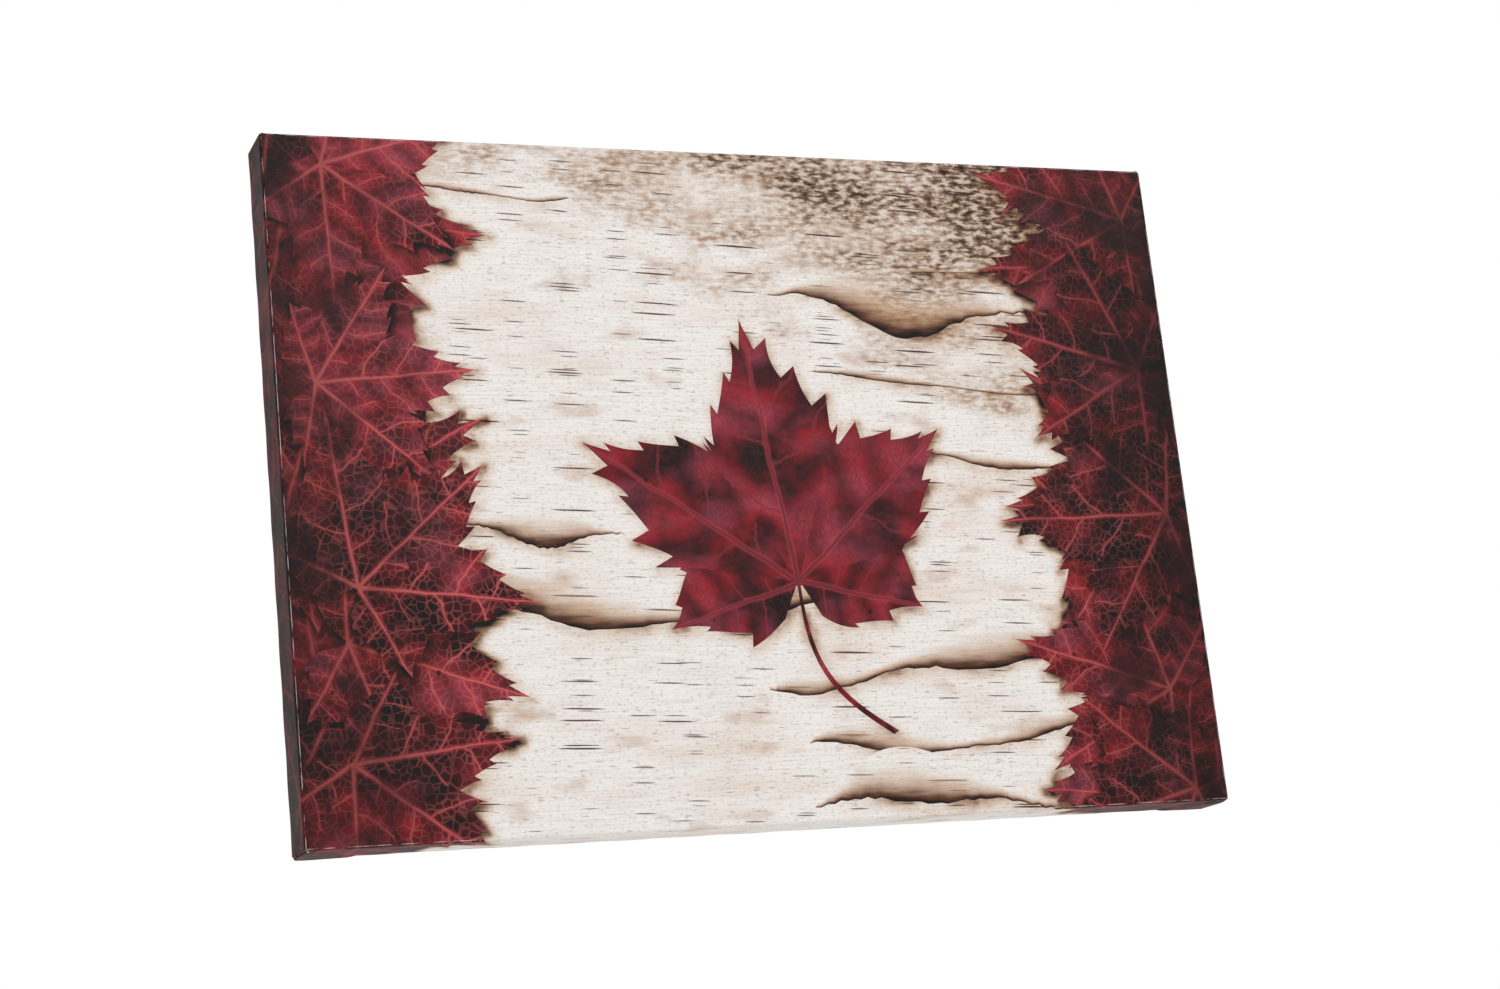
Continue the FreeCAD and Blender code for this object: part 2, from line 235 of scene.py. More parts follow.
@dataclass(frozen=True)
class PlanedPine:
    """Kiln-dried pine off the planer: pale, with soft amber growth lines, a few small knots, unvarnished."""

    grain: Grain
    name: str = "pine_planed"
    ring_mm: float = 7.0
    fibre_mm: float = 0.9
    knot_gap_mm: float = 160.0
    pale: str = "#E2C69A"
    warm: str = "#CDA36C"
    amber: str = "#BC8A52"
    knot: str = "#A8743F"

    def build(self) -> Material:
        """Makes the material, with growth lines that wander along the grain."""
        wood = Shading(f"{self.name}_{self.grain.name.lower()}")
        along = wood.add("Mapping", "Vector", Vector=wood.place, Scale=self.grain.value)
        bent = wood.mix(0.02, along, wood.noise(4 * self.ring_mm, 2.0, along, "Color"))
        rings = wood.add("TexWave", "Color", {"wave_type": "RINGS", "rings_direction": "SPHERICAL"},
                         Vector=bent, Scale=1 / (3 * self.ring_mm * MM), Distortion=5.0, Detail=3.0,
                         Detail_Scale=1.6)
        fibres = wood.noise(self.fibre_mm, 4.0, along)
        tone = wood.ramp(rings, (0.0, self.pale), (0.62, self.pale), (0.86, self.warm), (1.0, self.amber))
        toned = wood.mix(0.55, tone, wood.ramp(fibres, (0.32, 0.80), (0.62, 1.0)), "MULTIPLY")
        gaps = wood.add("TexVoronoi", "Distance", Vector=wood.place, Scale=1 / (self.knot_gap_mm * MM))
        colour = wood.mix(wood.ramp(gaps, (0.03, 0.85), (0.075, 0.0)), toned, self.knot)
        return wood.finish(Base_Color=colour, Roughness=0.62, Normal=wood.bump(fibres, 0.25, 0.12))


@dataclass(frozen=True)
class SawnBeech:
    """Beech for the keys: pinkish tan with short darker flecks, sawn and lightly sanded."""

    grain: Grain
    name: str = "beech_sawn"
    fleck_mm: float = 1.4
    pale: str = "#D2A779"
    dark: str = "#A97848"

    def build(self) -> Material:
        """Makes the material, with flecks stretched along the key."""
        wood = Shading(f"{self.name}_{self.grain.name.lower()}")
        along = wood.add("Mapping", "Vector", Vector=wood.place, Scale=self.grain.value)
        flecks = wood.noise(self.fleck_mm, 5.0, along)
        shade = wood.ramp(wood.noise(9 * self.fleck_mm, 1.0, along), (0.3, 0.82), (0.7, 1.0))
        colour = wood.mix(0.7, wood.ramp(flecks, (0.36, self.dark), (0.58, self.pale)), shade, "MULTIPLY")
        return wood.finish(Base_Color=colour, Roughness=0.66, Normal=wood.bump(flecks, 0.35, 0.15))


@dataclass(frozen=True)
class PlatedSteel:
    """Plated steel: a bright skin over pressed or drawn metal, cloudy where handled and finely scratched."""

    name: str
    bright: str
    dull: str
    cloud_mm: float
    smoothest: float
    roughest: float
    scratch_mm: float = 0.35

    def build(self) -> Material:
        """Makes the material, with cloudy roughness and fine draw lines."""
        metal = Shading(self.name)
        cloud = metal.noise(self.cloud_mm, 3.0)
        tone = metal.ramp(cloud, (0.35, self.dull), (0.65, self.bright))
        rough = metal.ramp(cloud, (0.3, self.roughest), (0.7, self.smoothest))
        scratches = metal.bump(metal.noise(self.scratch_mm, 2.0), 0.2, 0.02)
        return metal.finish(Base_Color=tone, Roughness=rough, Metallic=1.0, Normal=scratches)


@dataclass(frozen=True)
class MouldedRubber:
    """Black moulded rubber: nearly matt, with a fine spark texture and a little dust on it."""

    name: str = "rubber_moulded"
    texture_mm: float = 0.45
    dust_mm: float = 3.5
    black: str = "#23211F"
    dusty: str = "#47433F"

    def build(self) -> Material:
        """Makes the material, with a fine texture and dusty patches."""
        rubber = Shading(self.name)
        tone = rubber.ramp(rubber.noise(self.dust_mm, 3.0), (0.4, self.black), (0.72, self.dusty))
        spark = rubber.bump(rubber.noise(self.texture_mm, 2.0), 0.4, 0.05)
        return rubber.finish(Base_Color=tone, Roughness=0.72, Normal=spark)


@dataclass(frozen=True)
class CottonThread:
    """A single cotton warp end: soft off-white, fuzzy, twisted."""

    name: str = "cotton_thread"
    twist_mm: float = 0.6
    shade: str = "#CFC2A6"
    base: str = "#EBE3D2"

    def build(self) -> Material:
        """Makes the material, with the twist as a faint change of tone."""
        thread = Shading(self.name)
        twist = thread.noise(self.twist_mm, 2.0)
        tone = thread.ramp(twist, (0.35, self.shade), (0.65, self.base))
        return thread.finish(Base_Color=tone, Roughness=0.95, Normal=thread.bump(twist, 0.5, 0.03))


@dataclass(frozen=True)
class CottonWeave:
    """The weave that all faces of the cloth share. Real threads lie 0.55 mm apart; these are coarser."""

    pitch_mm: float = 1.1
    depth_mm: float = 0.05
    slub_mm: float = 2.2

    def normal(self, cloth: Shading, strength: float) -> Socket:
        """Builds the bump of warp over weft.

        Args:
            cloth: the material, on the cloth's own flat coordinates.
            strength: how deep the weave looks, from 0 to 1.

        Returns:
            The bump's normal socket.
        """
        turn = math.tau / (self.pitch_mm * MM)
        across, up, _ = cloth.split(cloth.place)
        warp, weft = (cloth.calc("SINE", cloth.calc("MULTIPLY", part, turn)) for part in (across, up))
        height = cloth.calc("ADD", cloth.calc("MULTIPLY", warp, weft), cloth.noise(self.slub_mm, 3.0))
        return cloth.bump(height, strength, self.depth_mm)


@dataclass(frozen=True)
class RawCotton:
    """Unprimed cotton duck, seen from behind: warm off-white, dry, with darker slubs and bits of husk."""

    name: str = "cotton_raw"
    slub_mm: float = 1.3
    husk_gap_mm: float = 14.0
    base: str = "#D9CDB4"
    shade: str = "#C6B797"
    husk: str = "#8C7350"

    def build(self) -> Material:
        """Makes the material from the weave, slubs and husks."""
        cloth = Shading(self.name, cloth=True)
        stretched = cloth.add("Mapping", "Vector", Vector=cloth.place, Scale=(0.15, 1.0, 1.0))
        tone = cloth.ramp(cloth.noise(self.slub_mm, 3.0, stretched), (0.35, self.shade), (0.6, self.base))
        gaps = cloth.add("TexVoronoi", "Distance", Vector=cloth.place, Scale=1 / (self.husk_gap_mm * MM))
        colour = cloth.mix(cloth.ramp(gaps, (0.02, 0.8), (0.04, 0.0)), tone, self.husk)
        return cloth.finish(Base_Color=colour, Roughness=0.9, Sheen_Weight=0.15,
                            Normal=CottonWeave().normal(cloth, 0.9))


@dataclass(frozen=True)
class PrimedCotton:
    """Acrylic primer on the unprinted margin: chalk white, half-filled weave, a few handling marks."""

    name: str = "cotton_primed"
    mark_mm: float = 35.0
    white: str = "#EEECE6"
    handled: str = "#DDD8CD"

    def build(self) -> Material:
        """Makes the material, with faint handling marks."""
        cloth = Shading(self.name, cloth=True)
        tone = cloth.ramp(cloth.noise(self.mark_mm, 4.0), (0.42, self.white), (0.7, self.handled))
        return cloth.finish(Base_Color=tone, Roughness=0.78, Normal=CottonWeave().normal(cloth, 0.7))


@dataclass(frozen=True)
class PrintedCotton:
    """Pigment ink on primed cotton: pale bark between red autumn leaves, satin, worn white at the folds.

    The cloth's triangles carry what is painted on them. cloth_paint holds the shade in its green, a leaf's
    tone or the height on a bark curl in its blue, and how far past the fold it is in its alpha. cloth_kind is
    red on leaves, green on curls, and blue by how pale the veins are. cloth_lobe is the place along and
    across the nearest leaf lobe, and the leaf's size.
    """

    name: str = "cotton_printed"
    bark: str = "#F8F3EF"
    bark_warm: str = "#E9D6C6"
    fleck: str = "#4A2A1B"
    dust: str = "#BFAA9A"
    stain: str = "#C6A184"
    grime_pale: str = "#D3BFAE"
    grime: str = "#7E6250"
    grime_deep: str = "#2A1B15"
    split_dark: str = "#120806"
    curl_deep: str = "#5A3626"
    curl_edge: str = "#8E6244"
    curl_tan: str = "#C39468"
    curl_pale: str = "#DDC3AA"
    leaf_dark: str = "#170306"
    leaf_deep: str = "#500812"
    leaf_red: str = "#82111D"
    leaf_bright: str = "#A82230"
    leaf_frost: str = "#A84C60"
    leaf_glow: str = "#BC3A4A"
    leaf_spot: str = "#12070A"
    vein_light: str = "#DA6E68"
    vein_dark: str = "#2E0812"
    shade_soft: str = "#EBDDD0"
    shade_brown: str = "#9C7A62"
    shade_dark: str = "#120807"
    bare: str = "#E6DEDA"
    fleck_lean: float = 2.5
    net_mm: float = 6.5
    spot_gap_mm: float = 15.0
    side_veins: float = 4.4
    crack_mm: float = 0.35
    fold_span_mm: float = 20.0

    def build(self) -> Material:
        """Makes the material: bark, then curls, then leaves, then shade, then wear along the folds."""
        ink = Shading(self.name, cloth=True)
        paint = add_node(ink.tree, "Attribute", attribute_name="cloth_paint")
        _, shade, tone = ink.split(paint.outputs["Color"], "Color")
        is_leaf, is_curl, pale_veins = ink.split(ink.read("cloth_kind", "Color"), "Color")
        bark = self._bark(ink)
        with_curls = ink.mix(is_curl, bark, self._curls(ink, tone, bark))
        picture = ink.mix(is_leaf, with_curls, self._leaves(ink, tone, pale_veins))
        uneven = ink.remap(ink.patches((42, 28), 4.0), 0.38, 0.64, 0.25, 1.2)
        veil = ink.ramp(ink.calc("MULTIPLY", shade, uneven), (0.0, 1.0), (0.30, self.shade_soft),
                        (0.62, self.shade_brown), (0.92, self.shade_dark))
        shaded = ink.mix(1.0, picture, veil, "MULTIPLY")
        colour = ink.mix(self._wear(ink, paint.outputs["Alpha"]), shaded, self.bare)
        rough = ink.ramp(ink.noise(60, 2.0), (0.3, 0.50), (0.7, 0.60))
        return ink.finish(Base_Color=colour, Roughness=rough, Specular_IOR_Level=0.22,
                          Normal=CottonWeave().normal(ink, 0.35))

    def _flecks(self, ink: Shading, size: Point, share: float, shift: float) -> Socket:
        """Thin level dashes, one to a few of the cells of a scattered grid.

        Args:
            ink: the material.
            size: the cell's size in millimetres, along and across, about twice the longest dash's.
            share: the share of cells that hold a dash.
            shift: moves the pattern, so that two sets differ.

        Returns:
            A mask, 1 on a dash.
        """
        level = ink.add("VectorRotate", "Vector", {"rotation_type": "Z_AXIS"}, Vector=ink.place,
                        Angle=math.radians(self.fleck_lean))
        scale = (1 / (size[0] * MM), 1 / (size[1] * MM), 1.0)
        cells = ink.add("Mapping", "Vector", Vector=level, Scale=scale, Location=(shift, shift, shift))
        bent = ink.mix(0.16, cells, ink.add("TexNoise", "Color", Vector=cells, Scale=3.0, Detail=2.0))
        found = add_node(ink.tree, "TexVoronoi", {"Vector": bent, "Scale": 1.0}, voronoi_dimensions="2D")
        lot, longer, _ = ink.split(found.outputs["Color"], "Color")
        chosen = ink.calc("GREATER_THAN", lot, 1 - share)
        reach = ink.calc("MULTIPLY", chosen, ink.calc("MULTIPLY_ADD", longer, 0.16, 0.14))
        return ink.remap(ink.calc("SUBTRACT", reach, found.outputs["Distance"]), 0.0, 0.08)

    def _bark(self, ink: Shading) -> Socket:
        """Pale birch bark: warm patches, fine level fibres, thin brown dashes, dirt towards one corner."""
        warm = ink.ramp(ink.patches((120, 34), 5.0), (0.50, 0.0), (0.76, 0.8))
        colour = ink.mix(warm, self.bark, self.bark_warm)
        fibres = ink.ramp(ink.patches((34, 1.5), 6.0), (0.30, 0.80), (0.56, 1.0))
        colour = ink.mix(0.7, colour, fibres, "MULTIPLY")
        dust = ink.ramp(ink.patches((3.2, 1.6), 4.0), (0.32, self.dust), (0.46, 1.0))
        colour = ink.mix(0.45, colour, dust, "MULTIPLY")
        stain = ink.ramp(ink.patches((60, 30), 6.0), (0.58, 0.0), (0.74, 0.75))
        colour = ink.mix(stain, colour, self.stain)
        for size, share, shift, strength in (((58, 2.4), 0.085, 0.0, 0.95), ((34, 1.8), 0.080, 5.3, 0.85),
                                             ((9, 1.4), 0.10, 9.1, 0.4)):
            mask = ink.calc("MULTIPLY", self._flecks(ink, size, share, shift), strength)
            colour = ink.mix(mask, colour, self.fleck)
        across, up, _ = ink.split(ink.place)
        slope = ink.calc("ADD", ink.calc("MULTIPLY", across, 0.9), ink.calc("MULTIPLY", up, 2.1))
        region = ink.calc("ADD", ink.patches((90, 40), 3.0), ink.calc("SUBTRACT", slope, 0.34))
        specks = ink.ramp(ink.patches((8, 3.6), 10.0), (0.40, 0.25), (0.64, 1.0))
        dirty = ink.calc("MULTIPLY", ink.ramp(region, (0.42, 0.0), (0.86, 1.0)), specks)
        veil = ink.ramp(dirty, (0.0, 1.0), (0.30, self.grime_pale), (0.62, self.grime),
                        (1.0, self.grime_deep))
        return ink.mix(1.0, colour, veil, "MULTIPLY")

    def _curls(self, ink: Shading, height: Socket, bark: Socket) -> Socket:
        """Peeled bark: a dark split along the lower edge, then tan inner bark that pales to the surface."""
        waver = ink.calc("MULTIPLY", ink.patches((30, 6), 5.0), 0.30)
        lifted = ink.calc("SUBTRACT", ink.calc("ADD", height, waver), 0.15)
        tone = ink.ramp(lifted, (0.02, self.split_dark), (0.10, self.curl_deep), (0.20, self.curl_edge),
                        (0.36, self.curl_tan), (0.62, self.curl_pale))
        fibres = ink.ramp(ink.patches((30, 1.6), 4.0), (0.3, 0.70), (0.6, 1.0))
        torn = ink.mix(0.8, tone, fibres, "MULTIPLY")
        return ink.mix(ink.ramp(lifted, (0.12, 1.0), (0.78, 0.0)), bark, torn)

    def _leaves(self, ink: Shading, tone: Socket, pale_veins: Socket) -> Socket:
        """Red leaves: dark and frosted patches across the lobes, then veins, then spots and dark hollows."""
        flat_x, flat_y, _ = ink.split(ink.place)
        own = ink.add("CombineXYZ", "Vector", X=flat_x, Y=flat_y, Z=ink.calc("MULTIPLY", tone, 9.0))
        patch = ink.calc("MULTIPLY_ADD", tone, 0.20, ink.patches((38, 38), 7.0, own))
        colour = ink.ramp(patch, (0.45, self.leaf_dark), (0.56, self.leaf_deep), (0.65, self.leaf_red),
                          (0.80, self.leaf_bright))
        cold = ink.calc("MULTIPLY_ADD", tone, 0.22, ink.patches((55, 32), 4.0, own))
        colour = ink.mix(ink.ramp(cold, (0.58, 0.0), (0.84, 0.62)), colour, self.leaf_frost)
        colour = self._veins(ink, own, colour, ink.mix(pale_veins, self.vein_dark, self.vein_light))
        spots = add_node(ink.tree, "TexVoronoi", {"Vector": own, "Scale": 1 / (self.spot_gap_mm * MM)})
        radius = ink.remap(ink.split(spots.outputs["Color"], "Color")[0], 0.45, 1.0, 0.0, 0.14)
        inside = ink.calc("SUBTRACT", radius, spots.outputs["Distance"])
        colour = ink.mix(ink.remap(inside, 0.0, 0.04, 0.0, 0.85), colour, self.leaf_spot)
        outward = ink.calc("ABSOLUTE", ink.calc("ADD", flat_x, 0.02))
        dusk = ink.remap(outward, 0.21, 0.36, 0.0, 0.72)
        colour = ink.mix(dusk, colour, self.leaf_deep, "MULTIPLY")
        hollow = ink.ramp(ink.patches((46, 60), 5.0), (0.38, 1.0), (0.52, 0.0))
        gloom = ink.calc("MULTIPLY", hollow, ink.remap(outward, 0.20, 0.31, 0.0, 0.85))
        return ink.mix(gloom, colour, self.leaf_dark)

    def _veins(self, ink: Shading, own: Socket, colour: Socket, veins: Socket) -> Socket:
        """Draws a fine net, then side veins that leave the rib at a slant, then the rib, each with a glow.

        Args:
            ink: the material.
            own: each leaf's own coordinates, so that no two leaves share a pattern.
            colour: the leaf without veins.
            veins: the colour of its veins.

        Returns:
            The veined leaf's colour.
        """
        along, across, size = ink.split(ink.read("cloth_lobe", "Vector"))
        net = ink.add("TexVoronoi", "Distance", {"feature": "DISTANCE_TO_EDGE"}, Vector=own,
                      Scale=1 / (self.net_mm * MM))
        colour = ink.mix(ink.ramp(net, (0.0, 0.46), (0.10, 0.0)), colour, veins)
        waver = ink.calc("MULTIPLY_ADD", ink.patches((34, 34), 3.0, own), 0.16, -0.08)
        off_rib = ink.calc("ABSOLUTE", ink.calc("MULTIPLY_ADD", waver, 0.22, across))
        bow = ink.calc("MULTIPLY", ink.calc("MULTIPLY", off_rib, off_rib), -0.9)
        slant = ink.calc("MULTIPLY_ADD", off_rib, -0.55, along)
        climb = ink.calc("ADD", slant, ink.calc("ADD", bow, waver))
        alternate = ink.calc("MULTIPLY", ink.calc("SIGN", across), 0.30)
        count = ink.calc("MULTIPLY_ADD", climb, self.side_veins, alternate)
        near = ink.calc("ABSOLUTE", ink.calc("SUBTRACT", ink.calc("FRACT", count), 0.5))
        colour = ink.mix(ink.remap(near, 0.1, 0.5, 0.0, 0.6), colour, self.leaf_deep, "MULTIPLY")
        gap = ink.calc("MULTIPLY", ink.calc("MULTIPLY", near, size), 0.2)
        thinning = ink.calc("MULTIPLY_ADD", along, -0.9 * MM, 1.1 * MM)
        rib_gap = ink.calc("SUBTRACT", ink.calc("MULTIPLY", off_rib, size), thinning)
        for away, edge, middle, strength, glow_mm, glow in ((gap, 1.0, 0.3, 0.6, 2.0, 0.38),
                                                            (rib_gap, 0.5, -0.3, 0.8, 2.2, 0.55)):
            colour = ink.mix(ink.remap(away, glow_mm * MM, 0.0, 0.0, glow), colour, self.leaf_glow)
            colour = ink.mix(ink.remap(away, edge * MM, middle * MM, 0.0, strength), colour, veins)
        return colour

    def _wear(self, ink: Shading, past: Socket) -> Socket:
        """A thin broken line where the ink has cracked along the folds."""
        off = ink.calc("ABSOLUTE", ink.calc("SUBTRACT", past, 0.5 + self.crack_mm / self.fold_span_mm))
        line = ink.remap(off, 0.30 / self.fold_span_mm, 0.10 / self.fold_span_mm)
        return ink.calc("MULTIPLY", line, ink.ramp(ink.patches((14, 14), 6.0), (0.44, 0.0), (0.60, 0.75)))


# ---------------------------------------------------------------------------------------------- the picture

@dataclass
class PaintedShape:
    """One shape of the picture, with its outline in the cloth's flat coordinates, in metres."""

    outline: np.ndarray
    shadow: float = 0.85

    def __post_init__(self) -> None:
        """Keeps the outline's box for quick tests."""
        self.low = self.outline.min(0)
        self.high = self.outline.max(0)

    def holds(self, points: np.ndarray) -> np.ndarray:
        """Tells which points lie inside the outline.

        Args:
            points: rows of flat coordinates.

        Returns:
            True for each point inside.
        """
        inside = np.zeros(len(points), bool)
        near = np.flatnonzero(((points > self.low) & (points < self.high)).all(1))
        if not len(near):
            return inside
        x, y = points[near, 0][:, None], points[near, 1][:, None]
        x1, y1 = self.outline[:, 0], self.outline[:, 1]
        x2, y2 = np.roll(x1, -1), np.roll(y1, -1)
        spans = (y1 > y) != (y2 > y)
        run = np.where(y2 == y1, 1.0, y2 - y1)
        crosses = spans & (x < (x2 - x1) * (y - y1) / run + x1)
        inside[near] = (crosses * np.sign(y2 - y1)).sum(1) != 0
        return inside

    def gap(self, points: np.ndarray, reach: float) -> np.ndarray:
        """Measures how far points lie outside the outline, up to a reach.

        Args:
            points: rows of flat coordinates.
            reach: the largest distance that matters.

        Returns:
            Distances, 0 inside and reach where it is further.
        """
        far = np.full(len(points), reach)
        near = np.flatnonzero(((points > self.low - reach) & (points < self.high + reach)).all(1))
        start = self.outline
        run = np.roll(start, -1, 0) - start
        length = np.maximum((run ** 2).sum(1), 1e-12)
        for part in np.array_split(near, max(1, len(near) // 4000)):
            offset = points[part][:, None, :] - start[None]
            share = np.clip((offset * run).sum(2) / length, 0, 1)
            away = offset - share[..., None] * run
            far[part] = np.minimum(reach, np.sqrt((away ** 2).sum(2)).min(1))
        far[self.holds(points)] = 0
        return far

    def seams(self) -> list[tuple[Point, Point]]:
        """Lines inside the shape that the triangles must follow."""
        return []


@dataclass
class BarkCurl(PaintedShape):
    """A strip of bark that has peeled up, drawn as a thin wavy lens."""

    def gap(self, points: np.ndarray, reach: float) -> np.ndarray:
        """Measures how far points lie below the strip's lower edge, up to a reach; no shade falls upwards."""
        lower = self.outline[:len(self.outline) // 2]
        below = np.interp(points[:, 0], lower[:, 0], lower[:, 1]) - points[:, 1]
        ends = np.minimum(points[:, 0] - lower[0, 0], lower[-1, 0] - points[:, 0])
        thin = np.clip(ends / (0.25 * (lower[-1, 0] - lower[0, 0])), 0, 1)
        shaded = (below > -0.5 * reach) & (thin > 0)
        return np.where(shaded, reach - (reach - np.maximum(below, 0).clip(0, reach)) * thin, reach)

    def height(self, points: np.ndarray) -> np.ndarray:
        """Gives 0 at the strip's lower edge to 1 at its upper edge.

        Args:
            points: rows of flat coordinates.

        Returns:
            One number for each point.
        """
        half = len(self.outline) // 2
        lower, upper = self.outline[:half], self.outline[half:][::-1]
        below = np.interp(points[:, 0], lower[:, 0], lower[:, 1])
        above = np.interp(points[:, 0], upper[:, 0], upper[:, 1])
        return np.clip((points[:, 1] - below) / np.maximum(above - below, 1e-5), 0, 1)


@dataclass
class Leaf(PaintedShape):
    """A leaf of several lobes, with where its veins start and each lobe's direction and length."""

    tone: float = 0.5
    pale_veins: float = 0.0
    base: np.ndarray = field(default_factory=lambda: np.zeros(2))
    lobes: list[Point] = field(default_factory=list)
    valleys: list[np.ndarray] = field(default_factory=list)
    size: float = 0.1

    def seams(self) -> list[tuple[Point, Point]]:
        """Lines from the stalk to the valleys between lobes."""
        return [(tuple(self.base), tuple(valley)) for valley in self.valleys]


@dataclass(frozen=True)
class LeafPlan:
    """The usual leaf: its lobes from side to side, in degrees from the middle one and shares of its size."""

    angles: tuple[float, ...] = (-105, -50, 0, 50, 105)
    lengths: tuple[float, ...] = (0.52, 0.9, 1.0, 0.9, 0.52)
    valleys: tuple[float, ...] = (0.38, 0.45, 0.45, 0.38)
    heart_angle: float = 46
    heart_radius: float = 0.15
    stalk_notch: Point = (-0.015, 0.012)
    teeth: tuple[float, ...] = (0.022, 0.040, 0.085)


@dataclass(frozen=True)
class LeafLayer:
    """One column of leaves along a side, by its place, its leaves' sizes and how far they turn from level."""

    inset: float
    count: int
    stagger: float
    sizes: Point
    swing: float
    tones: Point


@dataclass
class Picture:
    """The printed picture: leaves at both sides and one in the middle, on pale bark.

    It is made up from formulas and seeded chance, as a picture of no place or plant in particular.
    """

    width: float
    height: float
    plan: LeafPlan = LeafPlan()
    rng: random.Random = field(default_factory=lambda: random.Random(28))
    places: random.Random = field(default_factory=lambda: random.Random(2))
    splits: int = 10
    split_swell: tuple[float, ...] = (0.03, 0.05, 0.07, 0.09, 0.12)
    split_inset: float = 0.11
    middle_base: Point = (0.020, -0.078)
    middle_size: float = 0.205
    middle_heading: float = 94
    stalk_end: Point = (0.085, -0.192)
    layers: tuple[LeafLayer, ...] = (
        LeafLayer(-0.060, 5, 0.2, (0.130, 0.165), 90, (0.00, 0.45)),
        LeafLayer(0.020, 6, 0.5, (0.130, 0.170), 75, (0.05, 0.60)),
        LeafLayer(0.070, 5, 0.7, (0.130, 0.170), 55, (0.10, 0.80)),
        LeafLayer(0.088, 5, 0.3, (0.115, 0.150), 45, (0.20, 0.95)),
    )
    shapes: list[PaintedShape] = field(default_factory=list)

    def leaf(self, centre: Point, size: float, heading: float, tone: float, pale: float,
             shadow: float = 0.9) -> Leaf:
        """Draws one leaf.

        Args:
            centre: where the stalk meets the leaf, in metres from the cloth's middle.
            size: length of the middle lobe.
            heading: direction of the middle lobe, in degrees from the cloth's right.
            tone: from 0, dark, to 1, frosted.
            pale: 0 for dark veins and 1 for pale ones.
            shadow: how dark a shade it throws.

        Returns:
            The leaf.
        """
        chance, plan = self.rng, self.plan
        notch_x, notch_y = plan.stalk_notch
        angles = [a + chance.uniform(-5, 5) for a in plan.angles]
        lengths = [n * chance.uniform(0.94, 1.06) for n in plan.lengths]
        between = [(angles[i] + angles[i + 1]) / 2 + chance.uniform(-2, 2) for i in range(len(angles) - 1)]
        valley_angles = [angles[0] - plan.heart_angle] + between + [angles[-1] + plan.heart_angle]
        deep = [r * chance.uniform(0.94, 1.06) for r in plan.valleys]
        valley_radii = [plan.heart_radius] + deep + [plan.heart_radius]
        points: list[Point] = [(notch_x, -notch_y)]
        for i, (angle, length) in enumerate(zip(angles, lengths)):
            points += self._lobe_side(angle, length, valley_angles[i], valley_radii[i], False)
            points += self._lobe_side(angle, length, valley_angles[i + 1], valley_radii[i + 1], True)
        points.append((notch_x, notch_y))
        turn = math.radians(heading)
        spin = np.array([[math.cos(turn), -math.sin(turn)], [math.sin(turn), math.cos(turn)]])
        outline = np.array(points) @ spin.T * size + np.array(centre)
        valleys = [np.array([r * math.cos(math.radians(a)), r * math.sin(math.radians(a))]) @ spin.T * size
                   + np.array(centre) for a, r in zip(valley_angles[1:-1], valley_radii[1:-1])]
        return Leaf(outline, shadow, tone, pale, np.array(centre),
                    [(turn + math.radians(a), n) for a, n in zip(angles, lengths)], valleys, size)

    def _lobe_side(self, angle: float, length: float, valley_angle: float, valley_radius: float,
                   outward: bool) -> list[Point]:
        """Draws one edge of a lobe, with teeth that point to its tip.

        Args:
            angle: the lobe's direction in degrees.
            length: its length.
            valley_angle: direction of the valley beside it.
            valley_radius: the valley's distance from the stalk.
            outward: True for the edge that runs from the tip down to the valley.

        Returns:
            Points from valley to tip, or from tip to valley.
        """
        chance = self.rng
        apart = math.radians(valley_angle - angle)
        start, width = valley_radius * math.cos(apart), valley_radius * math.sin(apart)
        teeth = 5 if length > 0.7 else 3
        steps = 6
        edge = []
        for tooth in range(teeth):
            reach = chance.choice(self.plan.teeth) * chance.uniform(0.8, 1.2)
            reach *= (1 - 0.6 * tooth / teeth) * length
            for step in range(steps + 1):
                share = (tooth + step / steps) / teeth
                body = abs(width) * (1 - share) ** 1.2 * (1 + 0.72 * math.sin(math.pi * min(1, share * 1.25)))
                rise = (step / steps) ** 1.6
                last = tooth == teeth - 1
                bulge = 0 if last else reach * rise
                lean = 0 if last else 0.035 * length * rise
                along = start + (length - start) * share + lean
                if step == 0 and tooth > 0:
                    along -= 0.004 * length
                edge.append((along, math.copysign(body + bulge, width)))
        edge[-1] = (length, 0.0)
        cosine, sine = math.cos(math.radians(angle)), math.sin(math.radians(angle))
        turned = [(u * cosine - v * sine, u * sine + v * cosine) for u, v in edge]
        return turned[::-1][1:] if outward else turned

    def curl(self, start: Point, end: Point, thick: float, waves: float) -> BarkCurl:
        """Draws one peeled strip from start to end."""
        chance = self.rng
        count = 44
        phase, second = chance.uniform(0, 6), chance.uniform(0, 6)
        lower, upper = [], []
        for i in range(count + 1):
            share = i / count
            x = start[0] + (end[0] - start[0]) * share
            ripple = math.sin(waves * math.tau * share + phase) + 0.3 * math.sin(13 * share + second)
            wave = 0.4 * thick * ripple
            y = start[1] + (end[1] - start[1]) * share + wave
            swell = math.sin(math.pi * share) ** 0.6 * (0.6 + 0.4 * math.sin(7 * share + second))
            ragged = chance.uniform(-0.05, 0.05) * thick
            lower.append((x, y - 0.25 * thick * swell + ragged - 0.0002))
            upper.append((x, y + 1.9 * thick * swell + 0.0002))
        return BarkCurl(np.array(lower + upper[::-1]), 0.5)

